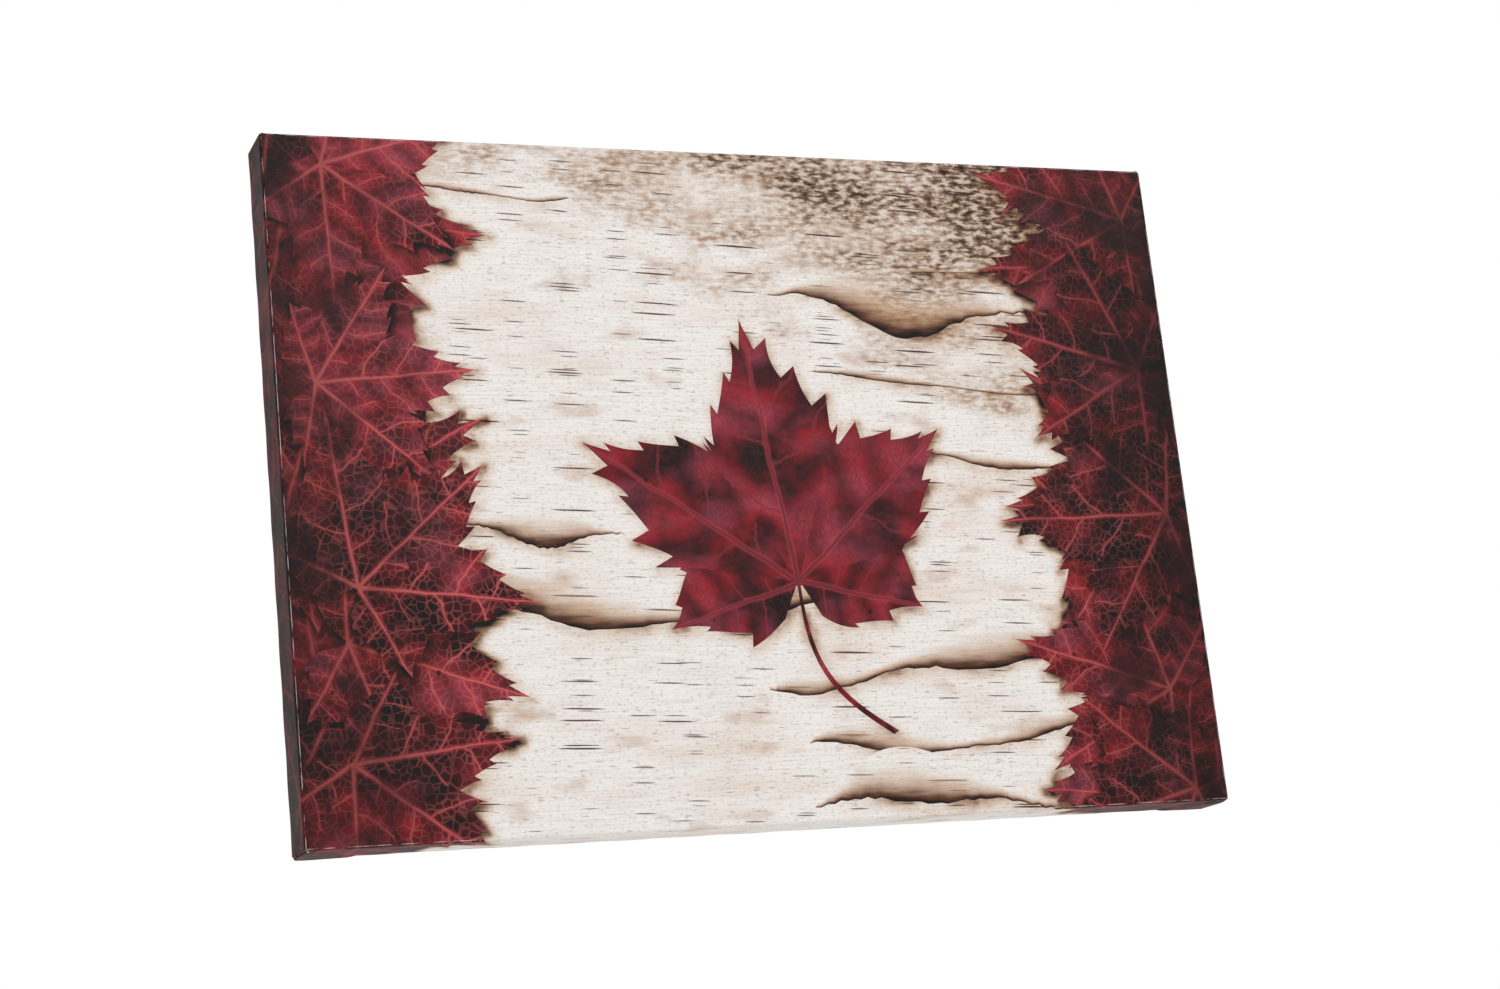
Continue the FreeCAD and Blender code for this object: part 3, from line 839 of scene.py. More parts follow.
    def split(self, row: int, half_w: float, half_h: float) -> BarkCurl:
        """Draws one of the splits in the bark, which start under the leaves of either side.

        Args:
            row: its number from the top.
            half_w: half the picture's width.
            half_h: half the picture's height.

        Returns:
            The peeled strip above the split.
        """
        places = self.places
        level = half_h * (0.88 - 1.84 * (row + places.uniform(-0.15, 0.15)) / (self.splits - 1))
        side = places.choice((-1, 1))
        outer = side * (half_w - self.split_inset)
        reach = places.uniform(0.10, 0.30)
        inner = outer - side * reach
        slope = places.uniform(-0.016, 0.016)
        thick = reach * places.choice(self.split_swell)
        ends = sorted(((outer, level), (inner, level + slope)))
        return self.curl(ends[0], ends[1], thick, places.uniform(0.5, 1.1))

    def compose(self) -> list[PaintedShape]:
        """Lays out the whole picture from the lowest shape to the highest.

        Returns:
            The shapes, lowest first.
        """
        half_w, half_h = self.width / 2, self.height / 2
        for row in range(self.splits):
            self.shapes.append(self.split(row, half_w, half_h))
        for side in (-1, 1):
            self.shapes.append(self.undergrowth(side * half_w, side))
            for layer in self.layers:
                self._leaf_row(side, side * half_w, half_h, layer)
        self.shapes.append(self.stalk(self.middle_base, self.stalk_end))
        self.shapes.append(self.leaf(self.middle_base, self.middle_size, self.middle_heading,
                                     tone=0.58, pale=0.10, shadow=0.6))
        return self.shapes

    def _leaf_row(self, side: int, edge: float, half_h: float, layer: LeafLayer) -> None:
        """Lays one column of leaves along a side of the picture.

        Args:
            side: -1 for the left and 1 for the right.
            edge: place of that side's fold.
            half_h: half the picture's height.
            layer: how this column lies.
        """
        chance = self.rng
        order = list(range(layer.count))
        chance.shuffle(order)
        for row in order:
            share = (row + layer.stagger + chance.uniform(-0.2, 0.2)) / layer.count
            heading = (180 if side > 0 else 0) + chance.uniform(-layer.swing, layer.swing)
            size = chance.uniform(*layer.sizes)
            middle_x = edge - side * (layer.inset + chance.uniform(-0.012, 0.012))
            middle_y = (2 * share - 1) * (half_h + 0.035)
            base = (middle_x - math.cos(math.radians(heading)) * size * 0.5,
                    middle_y - math.sin(math.radians(heading)) * size * 0.5)
            tone = chance.uniform(*layer.tones)
            self.shapes.append(self.leaf(base, size, heading, tone, chance.uniform(0.55, 1.0)))

    def undergrowth(self, edge: float, side: int) -> Leaf:
        """Draws the dark litter that shows in the gaps between leaves, from the sheet's edge inwards."""
        chance = self.rng
        steps = 26
        reach = self.height * 0.72
        inner = []
        for i in range(steps + 1):
            inset = 0.080 + chance.uniform(-0.015, 0.015)
            inner.append((edge - side * inset, -reach + 2 * reach * i / steps))
        outer = [(edge + side * 0.10, reach), (edge + side * 0.10, -reach)]
        outline = np.array(inner + outer)
        return Leaf(outline, 0.8, tone=-0.55, base=np.array([edge, 0.0]), lobes=[(0.0, 1.0)], size=0.12)

    def stalk(self, start: Point, end: Point) -> Leaf:
        """Draws the middle leaf's stalk as a thin tapering arc.

        Args:
            start: where it joins the leaf.
            end: its free end.

        Returns:
            The stalk, painted as a narrow lobe.
        """
        count = 16
        run = np.array(end) - np.array(start)
        side = np.array([-run[1], run[0]])
        spine = [np.array(start) + run * (i / count) - side * 0.16 * math.sin(math.pi * i / count)
                 for i in range(count + 1)]
        across = side / np.linalg.norm(side)
        halves = [across * (0.0014 + 0.0011 * i / count) for i in range(count + 1)]
        left = [place + half for place, half in zip(spine, halves)]
        right = [place - half for place, half in zip(spine, halves)]
        angle = math.atan2(run[1], run[0])
        return Leaf(np.array(left + right[::-1]), 0.5, 0.5, 0.1, np.array(start), [(angle, 1.0)], [],
                    float(np.linalg.norm(run)))


# ---------------------------------------------------------------------------------------------- the cloth

def activate(piece: Piece) -> None:
    """Selects one piece alone and makes it the active one."""
    bpy.ops.object.select_all(action="DESELECT")
    piece.select_set(True)
    bpy.context.view_layer.objects.active = piece


def add_piece(name: str, mesh: bpy.types.Mesh) -> Piece:
    """Puts a mesh into the scene under a name."""
    piece = bpy.data.objects.new(name, mesh)
    bpy.context.scene.collection.objects.link(piece)
    return piece


@dataclass
class FoldPath:
    """The way the cloth goes from the front over a rounded edge, along the side and onto the back."""

    radius: float
    depth: float

    def __post_init__(self) -> None:
        """Works out the lengths of the rounded and straight stretches."""
        self.quarter = self.radius * math.pi / 2
        self.side = self.depth - 2 * self.radius
        self.total = 2 * self.quarter + self.side

    def follow(self, distance: np.ndarray) -> tuple[np.ndarray, np.ndarray, np.ndarray, np.ndarray]:
        """Places points along the path.

        Args:
            distance: how far past the flat front each point is, negative on the front itself.

        Returns:
            The outward offset, the depth, and the outward and depthwise parts of the surface's normal.
        """
        first = np.clip(distance, 0, self.quarter) / self.radius
        second = np.clip(distance - self.quarter - self.side, 0, self.quarter) / self.radius
        straight = np.clip(distance - self.quarter, 0, self.side)
        turn = first + second
        out = np.minimum(distance, 0) + self.radius * np.sin(first) - self.radius * (1 - np.cos(second))
        out = out - np.maximum(distance - self.total, 0)
        back = self.radius * (1 - np.cos(first)) + straight + self.radius * np.sin(second)
        return out, back, np.sin(turn), -np.cos(turn)

    def stations(self) -> list[float]:
        """Distances of the lines that shape the two rounded edges."""
        last = self.quarter + self.side
        return [-1.2 * MM, 0.0, self.quarter / 2, self.quarter, self.quarter + 1.2 * MM,
                last - 1.2 * MM, last, last + self.quarter / 2, self.total, self.total + 1.2 * MM]


def ease(value: np.ndarray) -> np.ndarray:
    """A smooth step from 0 to 1."""
    held = np.clip(value, 0, 1)
    return held * held * (3 - 2 * held)


@dataclass
class StretchedCloth:
    """One sheet of primed cotton: printed over the front and sides, folded at the corners, stapled behind."""

    body: str = "frame"
    edge_radius: float = 1.6 * MM
    thickness: float = 0.5 * MM
    margin: float = 28.6 * MM
    grid: float = 4.2 * MM
    corner_grid: float = 1.5 * MM
    corner_zone: float = 13.0 * MM
    tuck: float = 6.0 * MM
    lip_height: float = 1.15 * MM
    lip_least: float = 0.16 * MM
    lip_taper: float = 11.0 * MM
    notch: float = 0.15 * MM
    shade_reach: float = 9.0 * MM
    shade_shift: Point = (1.2 * MM, -2.2 * MM)
    staple_pitch: float = 46.0 * MM
    dimple: float = 0.35 * MM

    def __post_init__(self) -> None:
        """Takes the sheet's sizes from the canvas node."""
        low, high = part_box("canvas")
        self.front = low.y
        self.centre = Vector(((low.x + high.x) / 2, 0, (low.z + high.z) / 2))
        self.path = FoldPath(self.edge_radius, high.y - low.y)
        self.flat_x = (high.x - low.x) / 2 - self.edge_radius
        self.flat_z = (high.z - low.z) / 2 - self.edge_radius
        self.back_width = self.margin - self.edge_radius
        self.wrap = self.path.total + self.back_width
        self.curl = math.pi * self.lip_height / 2 + 0.6 * MM
        self.tab = self.path.quarter + self.tuck

    # -- the flat sheet

    def outline(self) -> list[Point]:
        """Draws the cut sheet, notched from each corner so that its folds can lie over each other.

        Returns:
            Flat points, counter-clockwise.
        """
        x, z, deep, notch = self.flat_x, self.flat_z, self.path.total, self.notch
        corner = [
            (x + self.wrap, z), (x + deep, z), (x + deep, z + self.tab), (x + self.tab + notch, z + self.tab),
            (x + notch, z), (x, z), (x, z + notch), (x + self.curl, z + self.curl + notch),
            (x + self.curl, z + deep), (x + self.curl - self.back_width, z + self.wrap),
        ]
        points: list[Point] = []
        for sign_x, sign_z in ((1, 1), (-1, 1), (-1, -1), (1, -1)):
            turned = [(sign_x * px, sign_z * pz) for px, pz in corner]
            points += turned if sign_x * sign_z > 0 else turned[::-1]
        return points

    def fold_lines(self) -> list[tuple[Point, Point]]:
        """Lines along all folds, which the triangles must follow."""
        lines = []
        for sign in (-1, 1):
            for station in self.path.stations():
                x, z = sign * (self.flat_x + station), sign * (self.flat_z + station)
                lines.append(((x, -self.flat_z), (x, self.flat_z)))
                reach_x = self.flat_x - max(0.0, station - self.path.total)
                lines.append(((-reach_x, z), (reach_x, z)))
            for sign_z in (-1, 1):
                for share in (0.0, 0.3, 0.6, 0.85):
                    x = self.flat_x + share * self.curl
                    start = max(share * self.curl + 2 * self.notch, 0.0)
                    turn = (sign * x, sign_z * (self.flat_z + self.path.total))
                    lines.append(((sign * x, sign_z * (self.flat_z + start)), turn))
                    lines.append((turn, (sign * (x - self.back_width), sign_z * (self.flat_z + self.wrap))))
        return lines

    def scatter(self, rng: random.Random) -> list[Point]:
        """Spreads points over the sheet, closer together at the folded corners."""
        points = []
        reach_x, reach_z = self.flat_x + self.wrap, self.flat_z + self.wrap
        for pitch, near_corner in ((self.grid, False), (self.corner_grid, True)):
            for i in range(int(2 * reach_x / pitch)):
                for j in range(int(2 * reach_z / pitch)):
                    a = -reach_x + (i + 0.5 + rng.uniform(-0.18, 0.18)) * pitch
                    b = -reach_z + (j + 0.5 + rng.uniform(-0.18, 0.18)) * pitch
                    past_x, past_z = abs(a) - self.flat_x, abs(b) - self.flat_z
                    at_corner = past_x > -self.corner_zone and past_z > -self.corner_zone / 3
                    at_corner = at_corner and past_z < self.path.total + 2 * MM
                    if at_corner == near_corner:
                        points.append((a, b))
        return points

    def triangulate(self, shapes: Sequence[PaintedShape]) -> tuple[np.ndarray, np.ndarray]:
        """Cuts the flat sheet into triangles that follow the folds and the painted outlines.

        Args:
            shapes: the picture, lowest first.

        Returns:
            The flat points and the triangles' corner numbers.
        """
        points: list[Vector] = []
        edges: list[tuple[int, int]] = []

        def add_chain(chain: Iterable[Point], closed: bool) -> None:
            """Adds points that the triangles must join in their order."""
            first = len(points)
            points.extend(Vector(p) for p in chain)
            last = len(points) - 1
            edges.extend((i, i + 1) for i in range(first, last))
            if closed:
                edges.append((last, first))

        add_chain(self.outline(), True)
        for (x1, y1), (x2, y2) in self.fold_lines():
            count = max(1, round(math.hypot(x2 - x1, y2 - y1) / self.grid))
            add_chain([(x1 + (x2 - x1) * i / count, y1 + (y2 - y1) * i / count)
                       for i in range(count + 1)], False)
        for number, shape in enumerate(shapes):
            hidden = self._hidden(shape.outline, shapes[number + 1:])
            count = len(shape.outline)
            names = [None] * count
            for i in range(count):
                j = (i + 1) % count
                if hidden[i] and hidden[j]:
                    continue
                for k in (i, j):
                    if names[k] is None:
                        names[k] = len(points)
                        points.append(Vector(shape.outline[k]))
                edges.append((names[i], names[j]))
            for start, end in shape.seams():
                if not self._hidden(np.array([start, end]), shapes[number + 1:]).all():
                    add_chain((start, end), False)
        points.extend(Vector(p) for p in self.scatter(random.Random(5)))
        made, _, faces, *_ = delaunay_2d_cdt(points, edges, [], 0, 1e-6, False)
        flat = np.array([tuple(p) for p in made])
        triangles = np.array([f for f in faces if len(f) == 3])
        middles = flat[triangles].mean(1)
        sheet = PaintedShape(np.array(self.outline()))
        return flat, triangles[sheet.holds(middles)]

    @staticmethod
    def _hidden(points: np.ndarray, above: Sequence[PaintedShape]) -> np.ndarray:
        """Tells which points are covered by a shape above."""
        hidden = np.zeros(len(points), bool)
        for shape in above:
            hidden |= shape.holds(points)
        return hidden

    # -- the folded sheet

    def fold(self, flat: np.ndarray) -> np.ndarray:
        """Folds flat points round the frame.

        Args:
            flat: rows of flat coordinates.

        Returns:
            Rows of places round the frame.
        """
        a, b = flat[:, 0], flat[:, 1]
        sign_a, sign_b = np.sign(a), np.sign(b)
        past_a, past_b = np.abs(a) - self.flat_x, np.abs(b) - self.flat_z
        out_a, back_a, side_a, deep_a = self.path.follow(past_a)
        out_b, back_b, side_b, deep_b = self.path.follow(past_b)
        place = np.zeros((len(flat), 3))

        level = (past_b > 1e-7) & ((past_a <= 1e-7) | (past_b > past_a))
        upright = (past_a > 1e-7) & ~level
        front = ~(level | upright)

        place[front] = np.column_stack([a, np.zeros(len(a)), b])[front]

        raised = self._pull(b, past_a)
        plain = np.column_stack([sign_a * (self.flat_x + out_a + side_a * raised),
                                 back_a + deep_a * raised, b])
        end = np.clip(past_a - self.notch, 1e-5, self.tab)
        stretch = np.where(end < self.path.quarter, self.path.quarter / end, 1.0)
        beyond = np.maximum(past_b, 0) * stretch
        turn = np.minimum(beyond, self.path.quarter) / self.path.radius
        under = np.maximum(beyond - self.path.quarter, 0)
        tabbed = np.column_stack([sign_a * (self.flat_x + out_a * np.cos(turn) - under), back_a,
                                  sign_b * (self.flat_z + out_a * np.sin(turn))])
        place[upright] = np.where((past_b > 1e-7)[:, None], tabbed, plain)[upright]

        limit = self.flat_x - np.maximum(past_b - self.path.total, 0)
        over = np.abs(a) - limit
        lip = self.lip_least + (self.lip_height - self.lip_least) * ease(past_b / self.lip_taper)
        ridge = np.minimum(past_b, self.path.total)
        fade = 1 - ease((-over - ridge + 2.5 * MM) / (5.0 * MM))
        raised = lip * fade + self._pull(a, past_b)
        rest = np.clip(over, 0, None)
        bend = rest / (lip / 2)
        round_x = np.where(bend < math.pi, lip / 2 * np.sin(bend), -(rest - math.pi * lip / 2))
        round_h = lip - lip / 2 * (1 - np.cos(np.minimum(bend, math.pi)))
        x = np.where(over > 0, limit + round_x, np.abs(a))
        height = np.where(over > 0, round_h, raised)
        wrapped = np.column_stack([sign_a * x, back_b + deep_b * height,
                                   sign_b * (self.flat_z + out_b + side_b * height)])
        place[level] = wrapped[level]
        place += np.array([self.centre.x, self.front, self.centre.z])
        return place

    def _pull(self, along: np.ndarray, past: np.ndarray) -> np.ndarray:
        """The small scallops that the staples pull into the back and the sides.

        Args:
            along: place along the edge.
            past: distance past the flat front.

        Returns:
            Offsets along the normal, downwards at a staple.
        """
        wave = 0.5 - 0.5 * np.cos(along * math.tau / self.staple_pitch)
        fading = np.clip((past - 0.35 * self.path.total) / (0.65 * self.path.total), 0, 1) ** 2
        return self.dimple * wave * fading * (past > 0)

    # -- paint and build

    def paint(self, mesh: bpy.types.Mesh, flat: np.ndarray, triangles: np.ndarray,
              shapes: Sequence[PaintedShape]) -> None:
        """Writes what is painted on each triangle's corners.

        Args:
            mesh: the folded mesh, with the triangles in the same order.
            flat: the flat points.
            triangles: their corner numbers.
            shapes: the picture, lowest first.
        """
        middles = flat[triangles].mean(1)
        top = np.full(len(triangles), -1)
        for number, shape in enumerate(shapes):
            top[shape.holds(middles)] = number
        light = np.ones((len(triangles), 3))
        lit = flat - np.array(self.shade_shift)
        for number, shape in enumerate(shapes):
            gap = shape.gap(lit, self.shade_reach)
            dark = shape.shadow * (1 - gap / self.shade_reach) ** 1.7
            below = top < number
            light[below] *= 1 - dark[triangles[below]]
        count = len(triangles) * 3
        paint = np.zeros((len(triangles), 3, 4), np.float32)
        kind = np.zeros((len(triangles), 3, 4), np.float32)
        kind[..., 3] = 1
        lobe = np.zeros((len(triangles), 3, 3), np.float32)
        paint[..., 1] = 1 - light
        corners = flat[triangles]
        for number, shape in enumerate(shapes):
            mine = np.flatnonzero(top == number)
            if not len(mine):
                continue
            places = corners[mine].reshape(-1, 2)
            if isinstance(shape, BarkCurl):
                kind[mine, :, 1] = 1
                paint[mine, :, 2] = shape.height(places).reshape(-1, 3)
            elif isinstance(shape, Leaf):
                kind[mine, :, 0] = 1
                kind[mine, :, 2] = shape.pale_veins
                paint[mine, :, 2] = shape.tone
                lobe[mine] = self._one_lobe(shape, corners[mine])
        paint[..., 3] = self._past_fold(flat)[triangles]
        self._write(mesh, "cloth_paint", "FLOAT_COLOR", "color", paint.reshape(count, 4))
        self._write(mesh, "cloth_kind", "FLOAT_COLOR", "color", kind.reshape(count, 4))
        self._write(mesh, "cloth_lobe", "FLOAT_VECTOR", "vector", lobe.reshape(count, 3))
        flat_places = np.concatenate([corners, np.zeros((len(triangles), 3, 1))], 2)
        self._write(mesh, "cloth_place", "FLOAT_VECTOR", "vector", flat_places.reshape(count, 3))

    @staticmethod
    def _one_lobe(leaf: Leaf, corners: np.ndarray) -> np.ndarray:
        """Gives each triangle's corners their place on the lobe that the triangle's middle is on."""
        middles = corners.mean(1)
        offset = (middles - leaf.base) / leaf.size
        bearing = np.arctan2(offset[:, 1], offset[:, 0])
        angles = np.array([a for a, _ in leaf.lobes])
        lengths = np.array([n for _, n in leaf.lobes])
        turn = np.abs((bearing[:, None] - angles[None] + math.pi) % math.tau - math.pi)
        nearest = turn.argmin(1)
        angle, length = angles[nearest][:, None], lengths[nearest][:, None]
        local = (corners - leaf.base) / leaf.size
        along = (local[..., 0] * np.cos(angle) + local[..., 1] * np.sin(angle)) / length
        across = -local[..., 0] * np.sin(angle) + local[..., 1] * np.cos(angle)
        return np.stack([along, across, np.full(along.shape, leaf.size)], 2)

    def _past_fold(self, flat: np.ndarray) -> np.ndarray:
        """Gives 0.5 where a fold begins, less on the front and more past it, over the fold span."""
        past = np.maximum(np.abs(flat[:, 0]) - self.flat_x, np.abs(flat[:, 1]) - self.flat_z)
        return np.clip(0.5 + past / (PrintedCotton.fold_span_mm * MM), 0, 1)

    @staticmethod
    def _write(mesh: bpy.types.Mesh, name: str, kind: str, key: str, values: np.ndarray) -> None:
        """Writes one attribute on the corners of all faces."""
        attribute = mesh.attributes.new(name, kind, "CORNER")
        attribute.data.foreach_set(key, np.ascontiguousarray(values, np.float32).ravel())

    def build(self, picture: Picture) -> Piece:
        """Makes the folded, painted sheet with its real thickness.

        Args:
            picture: what is printed on it.

        Returns:
            The cloth.
        """
        shapes = picture.compose()
        flat, triangles = self.triangulate(shapes)
        a, b, c = (flat[triangles[:, i]] for i in range(3))
        turned = (b[:, 0] - a[:, 0]) * (c[:, 1] - a[:, 1]) - (b[:, 1] - a[:, 1]) * (c[:, 0] - a[:, 0])
        triangles = np.where((turned > 0)[:, None], triangles, triangles[:, ::-1])
        mesh = bpy.data.meshes.new("printed_cloth")
        mesh.from_pydata(self.fold(flat).tolist(), [], triangles.tolist())
        self.paint(mesh, flat, triangles, shapes)
        middles = np.abs(flat[triangles].mean(1)) - np.array([self.flat_x, self.flat_z])
        behind = middles.max(1) > self.path.total + 1.5 * MM
        mesh.polygons.foreach_set("material_index", behind.astype(np.int32))
        mesh.polygons.foreach_set("use_smooth", np.ones(len(triangles), bool))
        cloth = add_piece("printed_cloth", mesh)
        self.thicken(cloth)
        log.info("printed_cloth: %d triangles, %d shapes", len(triangles), len(shapes))
        return cloth

    def thicken(self, cloth: Piece) -> None:
        """Gives the sheet its inner face, finished as raw cotton."""
        activate(cloth)
        for finish in (PrintedCotton().build(), PrimedCotton().build(), RawCotton().build()):
            cloth.data.materials.append(finish)
        cloth.data.materials.append(cloth.data.materials[2])
        solid = cloth.modifiers.new("thickness", "SOLIDIFY")
        solid.thickness = self.thickness
        solid.offset = -1
        solid.material_offset = 2
        solid.material_offset_rim = 0
        bpy.ops.object.modifier_apply(modifier=solid.name)

    def dress(self, cloth: Piece, threads: Piece) -> None:
        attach(cloth, self.body)
        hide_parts("canvas")


@dataclass
class FrayedThreads:
    """Loose warp ends along the scissor-cut edge on the back."""

    cloth: StretchedCloth
    thread_mm: float = 0.16
    longest_mm: float = 4.5
    spacing_mm: float = 7.0
    corner_gap_mm: float = 4.0
    root_mm: float = 0.8
    sunk_mm: float = 0.22

    def build(self) -> Piece:
        """Makes all threads as one mesh of thin three-sided tubes.

        Returns:
            The threads.
        """
        rng = random.Random(11)
        cloth = self.cloth
        points: list[Point] = []
        faces: list[tuple[int, ...]] = []
        inner_x = cloth.flat_x - cloth.back_width
        inner_z = cloth.flat_z - cloth.back_width
        back = cloth.front + cloth.path.depth
        root = self.root_mm * MM
        clear = self.corner_gap_mm * MM
        for half_run, half_off, turned in ((inner_x - clear, inner_z, False),
                                           (inner_z - clear, inner_x, True)):
            for side in (-1, 1):
                for i in range(int(2 * half_run / (self.spacing_mm * MM))):
                    run = -half_run + (i + rng.random()) * self.spacing_mm * MM
                    if abs(run) > half_run:
                        continue
                    length = rng.uniform(0.25, 1.0) * self.longest_mm * MM
                    lean, drop = rng.uniform(-0.7, 0.7), rng.uniform(-0.05, 0.10)
                    spine = []
                    for step in range(5):
                        share = step / 4
                        along = run + lean * length * share ** 2
                        off = side * (half_off + root - (length + root) * share)
                        y = back - self.sunk_mm * MM + drop * length * share
                        spine.append((along, y, off) if not turned else (off, y, along))
                    self._tube(points, faces, spine)
        mesh = bpy.data.meshes.new("frayed_threads")
        shift = Vector((cloth.centre.x, 0, cloth.centre.z))
        mesh.from_pydata([tuple(Vector(p) + shift) for p in points], [], faces)
        mesh.materials.append(CottonThread().build())
        threads = add_piece("frayed_threads", mesh)
        activate(threads)
        bpy.ops.object.mode_set(mode="EDIT")
        bpy.ops.mesh.select_all(action="SELECT")
        bpy.ops.mesh.normals_make_consistent(inside=False)
        bpy.ops.object.mode_set(mode="OBJECT")
        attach(threads, cloth.body)
        log.info("frayed_threads: %d faces", len(faces))
        return threads

    def _tube(self, points: list, faces: list, spine: Sequence[Sequence[float]]) -> None:
        """Adds one three-sided tube along a spine, closed at both ends."""
        first = len(points)
        radius = self.thread_mm * MM / 2
        direction = (Vector(spine[-1]) - Vector(spine[0])).normalized()
        up = Vector((0, 1, 0))
        across = direction.cross(up).normalized()
        for place in spine:
            for corner in range(3):
                angle = math.tau * corner / 3
                offset = radius * (math.cos(angle) * up + math.sin(angle) * across)
                points.append(tuple(Vector(place) + offset))
        for ring in range(len(spine) - 1):
            for corner in range(3):
                one, two = first + 3 * ring + corner, first + 3 * ring + (corner + 1) % 3
                faces.append((one, two, two + 3, one + 3))
        last = first + 3 * (len(spine) - 1)
        faces.append((first, first + 2, first + 1))
        faces.append((last, last + 1, last + 2))


# ---------------------------------------------------------------------------------------------- hard parts

@dataclass
class WallBumper:
    """A moulded rubber stud: a thin foot, a waist, and a flat end with a rounded rim and a shallow dimple."""

    node: str
    body: str = "frame"
    sides: int = 64
    foot_mm: float = 0.8
    waist_share: float = 0.84
    rim_mm: float = 0.7
    dimple_mm: float = 0.35

    def build(self) -> Piece:
        """Shapes the stud from a short cylinder.

        Returns:
            The stud, in place.
        """
        low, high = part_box(self.node)
        base = (high.x - low.x) / 2
        height = high.y - low.y
        middle = Vector(((low.x + high.x) / 2, low.y, (low.z + high.z) / 2))
        bpy.ops.object.select_all(action="DESELECT")
        bpy.ops.mesh.primitive_cylinder_add(vertices=self.sides, radius=base, depth=self.foot_mm * MM,
                                            location=middle + Vector((0, self.foot_mm * MM / 2, 0)),
                                            rotation=(-math.pi / 2, 0, 0))
        stud = bpy.context.object
        stud.name = f"{self.node}_moulded"
        bpy.ops.object.transform_apply(location=True, rotation=True, scale=True)
        self._select_end(stud)
        bpy.ops.mesh.inset(thickness=base * (1 - self.waist_share))
        rise = height - self.foot_mm * MM
        bpy.ops.mesh.extrude_region_move(TRANSFORM_OT_translate={"value": (0, rise, 0)})
        bpy.ops.transform.resize(value=(0.93, 1, 0.93), center_override=middle + Vector((0, height, 0)))
        bpy.ops.mesh.bevel(offset=self.rim_mm * MM, segments=5, affect="EDGES")
        self._select_end(stud)
        bpy.ops.mesh.inset(thickness=1.1 * MM)
        bpy.ops.mesh.inset(thickness=0.5 * MM, depth=-self.dimple_mm * MM)
        bpy.ops.object.mode_set(mode="OBJECT")
        bpy.ops.object.shade_smooth_by_angle(angle=math.radians(35))
        stud.data.materials.append(MouldedRubber().build())
        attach(stud, self.body)
        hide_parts(self.node)
        log.info("%s: %d faces", stud.name, len(stud.data.polygons))
        return stud

    @staticmethod
    def _select_end(stud: Piece) -> None:
        """Selects the flat face furthest from the frame, in edit mode."""
        bpy.ops.object.mode_set(mode="OBJECT")
        faces = stud.data.polygons
        for item in list(stud.data.vertices) + list(stud.data.edges) + list(faces):
            item.select = False
        end = max(faces, key=lambda face: (round(face.center.y, 6), face.area))
        end.select = True
        bpy.ops.object.mode_set(mode="EDIT")
        bpy.ops.mesh.select_mode(type="FACE")


def give(node: Piece, material: Material) -> None:
    """Puts one material on a node that keeps its own mesh."""
    node.data.materials.clear()
    node.data.materials.append(material)
    log.info("%s: %s", node.name, material.name)


@dataclass
class Timber:
    """The four stretcher bars and the eight keys, which keep their own meshes."""

    def dress(self) -> None:
        """Gives each bar and key a wood whose grain runs along it."""
        pine = {grain: PlanedPine(grain).build() for grain in Grain}
        beech = {grain: SawnBeech(grain).build() for grain in Grain}
        for name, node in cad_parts.items():
            if name.startswith("stretcher_bar_"):
                level = name.endswith(("top", "bottom"))
                give(node, pine[Grain.LEVEL if level else Grain.UPRIGHT])
            elif name.startswith("corner_key_"):
                give(node, beech[Grain.LEVEL if name.endswith("level") else Grain.UPRIGHT])

@dataclass
class Hardware:
    """Staples, strap hangers, their rings and their screws, which keep their own meshes."""

    def dress(self) -> None:
        """Gives each metal piece its plating."""
        for start, finish in (
                ("staples_", PlatedSteel("steel_galvanised", "#C9C9C4", "#A9A9A6", 4.0, 0.28, 0.5)),
                ("hanger_strap_", PlatedSteel("steel_zinc_plated", "#D4D2CB", "#B3B1AA", 7.0, 0.24, 0.45)),
                ("hanger_ring_", PlatedSteel("steel_nickel_plated", "#DAD5CA", "#BDB7AA", 5.0, 0.12, 0.26)),
                ("hanger_screw_", PlatedSteel("steel_zinc_screw", "#CFCDC6", "#A5A39C", 3.0, 0.25, 0.42))):
            material = finish.build()
            for name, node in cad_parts.items():
                if name.startswith(start):
                    give(node, material)


# ---------------------------------------------------------------------------------------------- the studio

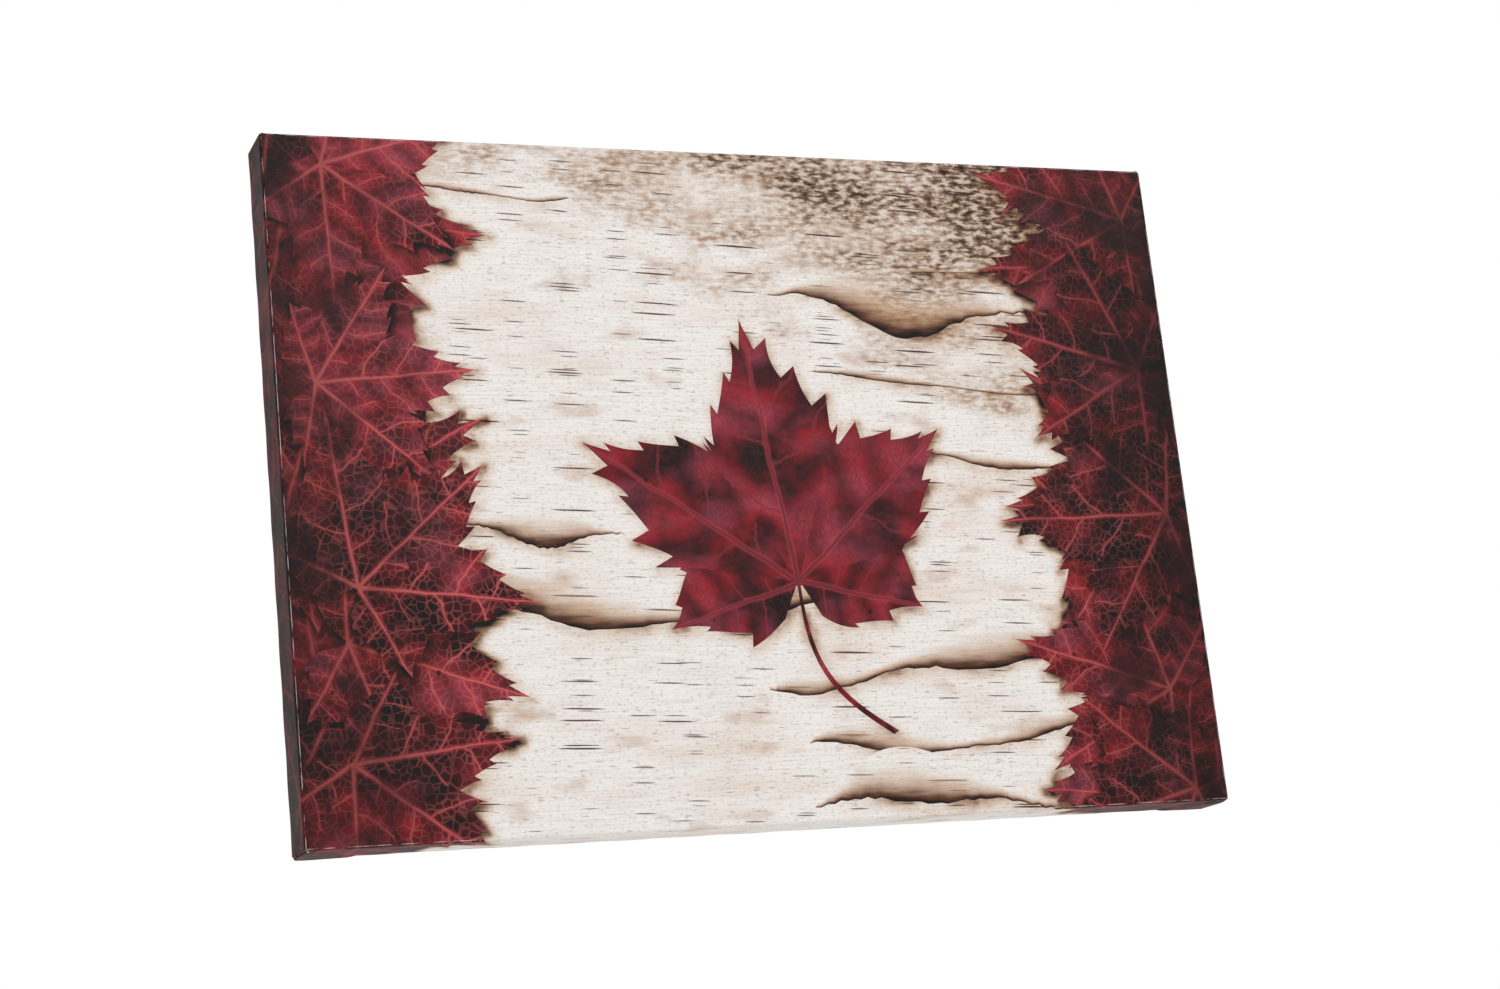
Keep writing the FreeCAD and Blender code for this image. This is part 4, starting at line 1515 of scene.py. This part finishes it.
@dataclass
class Studio:
    """A white sweep far below the canvas, broad soft lights, and the camera."""

    floor_drop: float = 0.95
    floor_size: float = 60.0
    focal_mm: float = 65.4
    camera_place: tuple[float, float, float] = (-0.762, -1.785, -0.478)
    camera_turn: tuple[float, float, float] = (-14.627, -22.153, -0.378)
    pale: str = "#F2F1EF"
    paler: str = "#F7F6F5"

    def build(self, face_centre: Vector) -> None:
        """Sets the stage.

        Args:
            face_centre: the middle of the painted face.
        """
        bpy.context.scene.view_settings.view_transform = "Standard"
        self._floor()
        self._world()
        self._light("key", (0.9, -3.0, 2.2), 2.2, 44.0, face_centre)
        self._light("fill", (-2.2, -2.4, 0.4), 2.6, 7.0, face_centre)
        self._light("back", (1.2, 2.8, 1.6), 2.6, 36.0, face_centre)
        self._camera(face_centre)

    def _floor(self) -> None:
        """Adds the pale floor, far enough down for the low camera."""
        bpy.ops.object.select_all(action="DESELECT")
        bpy.ops.mesh.primitive_plane_add(size=self.floor_size, location=(0, 0, -self.floor_drop))
        floor = bpy.context.object
        floor.name = "studio_floor"
        paper = Shading("paper_white")
        tone = paper.ramp(paper.add("TexNoise", "Fac", Vector=paper.place, Scale=3.0),
                          (0.3, self.pale), (0.7, self.paler))
        floor.data.materials.append(paper.finish(Base_Color=tone, Roughness=0.9))

    @staticmethod
    def _world() -> None:
        """Fills the surroundings with white, dimmer as a light than as a backdrop, so the lamps show form."""
        world = bpy.data.worlds.new("studio_white")
        world.use_nodes = True
        tree = world.node_tree
        tree.nodes.clear()
        seen = add_node(tree, "LightPath").outputs["Is Camera Ray"]
        strength = add_node(tree, "MapRange", {"Value": seen, "To Min": 0.62}).outputs["Result"]
        sky = add_node(tree, "Background", {"Color": (1.0, 1.0, 1.0, 1.0), "Strength": strength})
        add_node(tree, "OutputWorld", {"Surface": sky.outputs["Background"]})
        bpy.context.scene.world = world

    @staticmethod
    def _light(name: str, offset: Sequence[float], size: float, power: float, target: Vector) -> None:
        """Adds one square soft light that faces the canvas.

        Args:
            name: the light's name.
            offset: its place from the target, in metres.
            size: its side in metres.
            power: its power in watts.
            target: what it faces.
        """
        data = bpy.data.lights.new(name, "AREA")
        data.energy = power
        data.size = size
        lamp = bpy.data.objects.new(name, data)
        lamp.location = target + Vector(offset)
        lamp.rotation_euler = (-Vector(offset)).to_track_quat("-Z", "Y").to_euler()
        bpy.context.scene.collection.objects.link(lamp)

    def _camera(self, face_centre: Vector) -> None:
        """Adds the camera, turned about the canvas's own axes: tilt, swing, then roll."""
        tilt, swing, roll = (math.radians(angle) for angle in self.camera_turn)
        turn = Matrix.Rotation(roll, 3, "Z") @ Matrix.Rotation(swing, 3, "Y") @ Matrix.Rotation(tilt, 3, "X")
        right, down, ahead = (Vector((row[0], row[2], -row[1])) for row in turn)
        data = bpy.data.cameras.new("camera")
        data.lens = self.focal_mm
        data.sensor_width = 36.0
        camera = bpy.data.objects.new("camera", data)
        matrix = Matrix((right, -down, -ahead)).transposed().to_4x4()
        matrix.translation = face_centre + Vector(self.camera_place)
        camera.matrix_world = matrix
        bpy.context.scene.collection.objects.link(camera)
        bpy.context.scene.camera = camera


def main() -> None:
    """Builds the cloth, the bumpers and the finishes, then sets the stage."""
    cloth_maker = StretchedCloth()
    width = 2 * (cloth_maker.flat_x + cloth_maker.edge_radius)
    height = 2 * (cloth_maker.flat_z + cloth_maker.edge_radius)
    cloth = cloth_maker.build(Picture(width, height))
    threads = FrayedThreads(cloth_maker).build()
    cloth_maker.dress(cloth, threads)
    for side in ("left", "right"):
        WallBumper(f"wall_bumper_{side}").build()
    Timber().dress()
    Hardware().dress()
    face_centre = Vector((cloth_maker.centre.x, cloth_maker.front, cloth_maker.centre.z))
    Studio().build(face_centre)


if __name__ == "__main__":
    main()
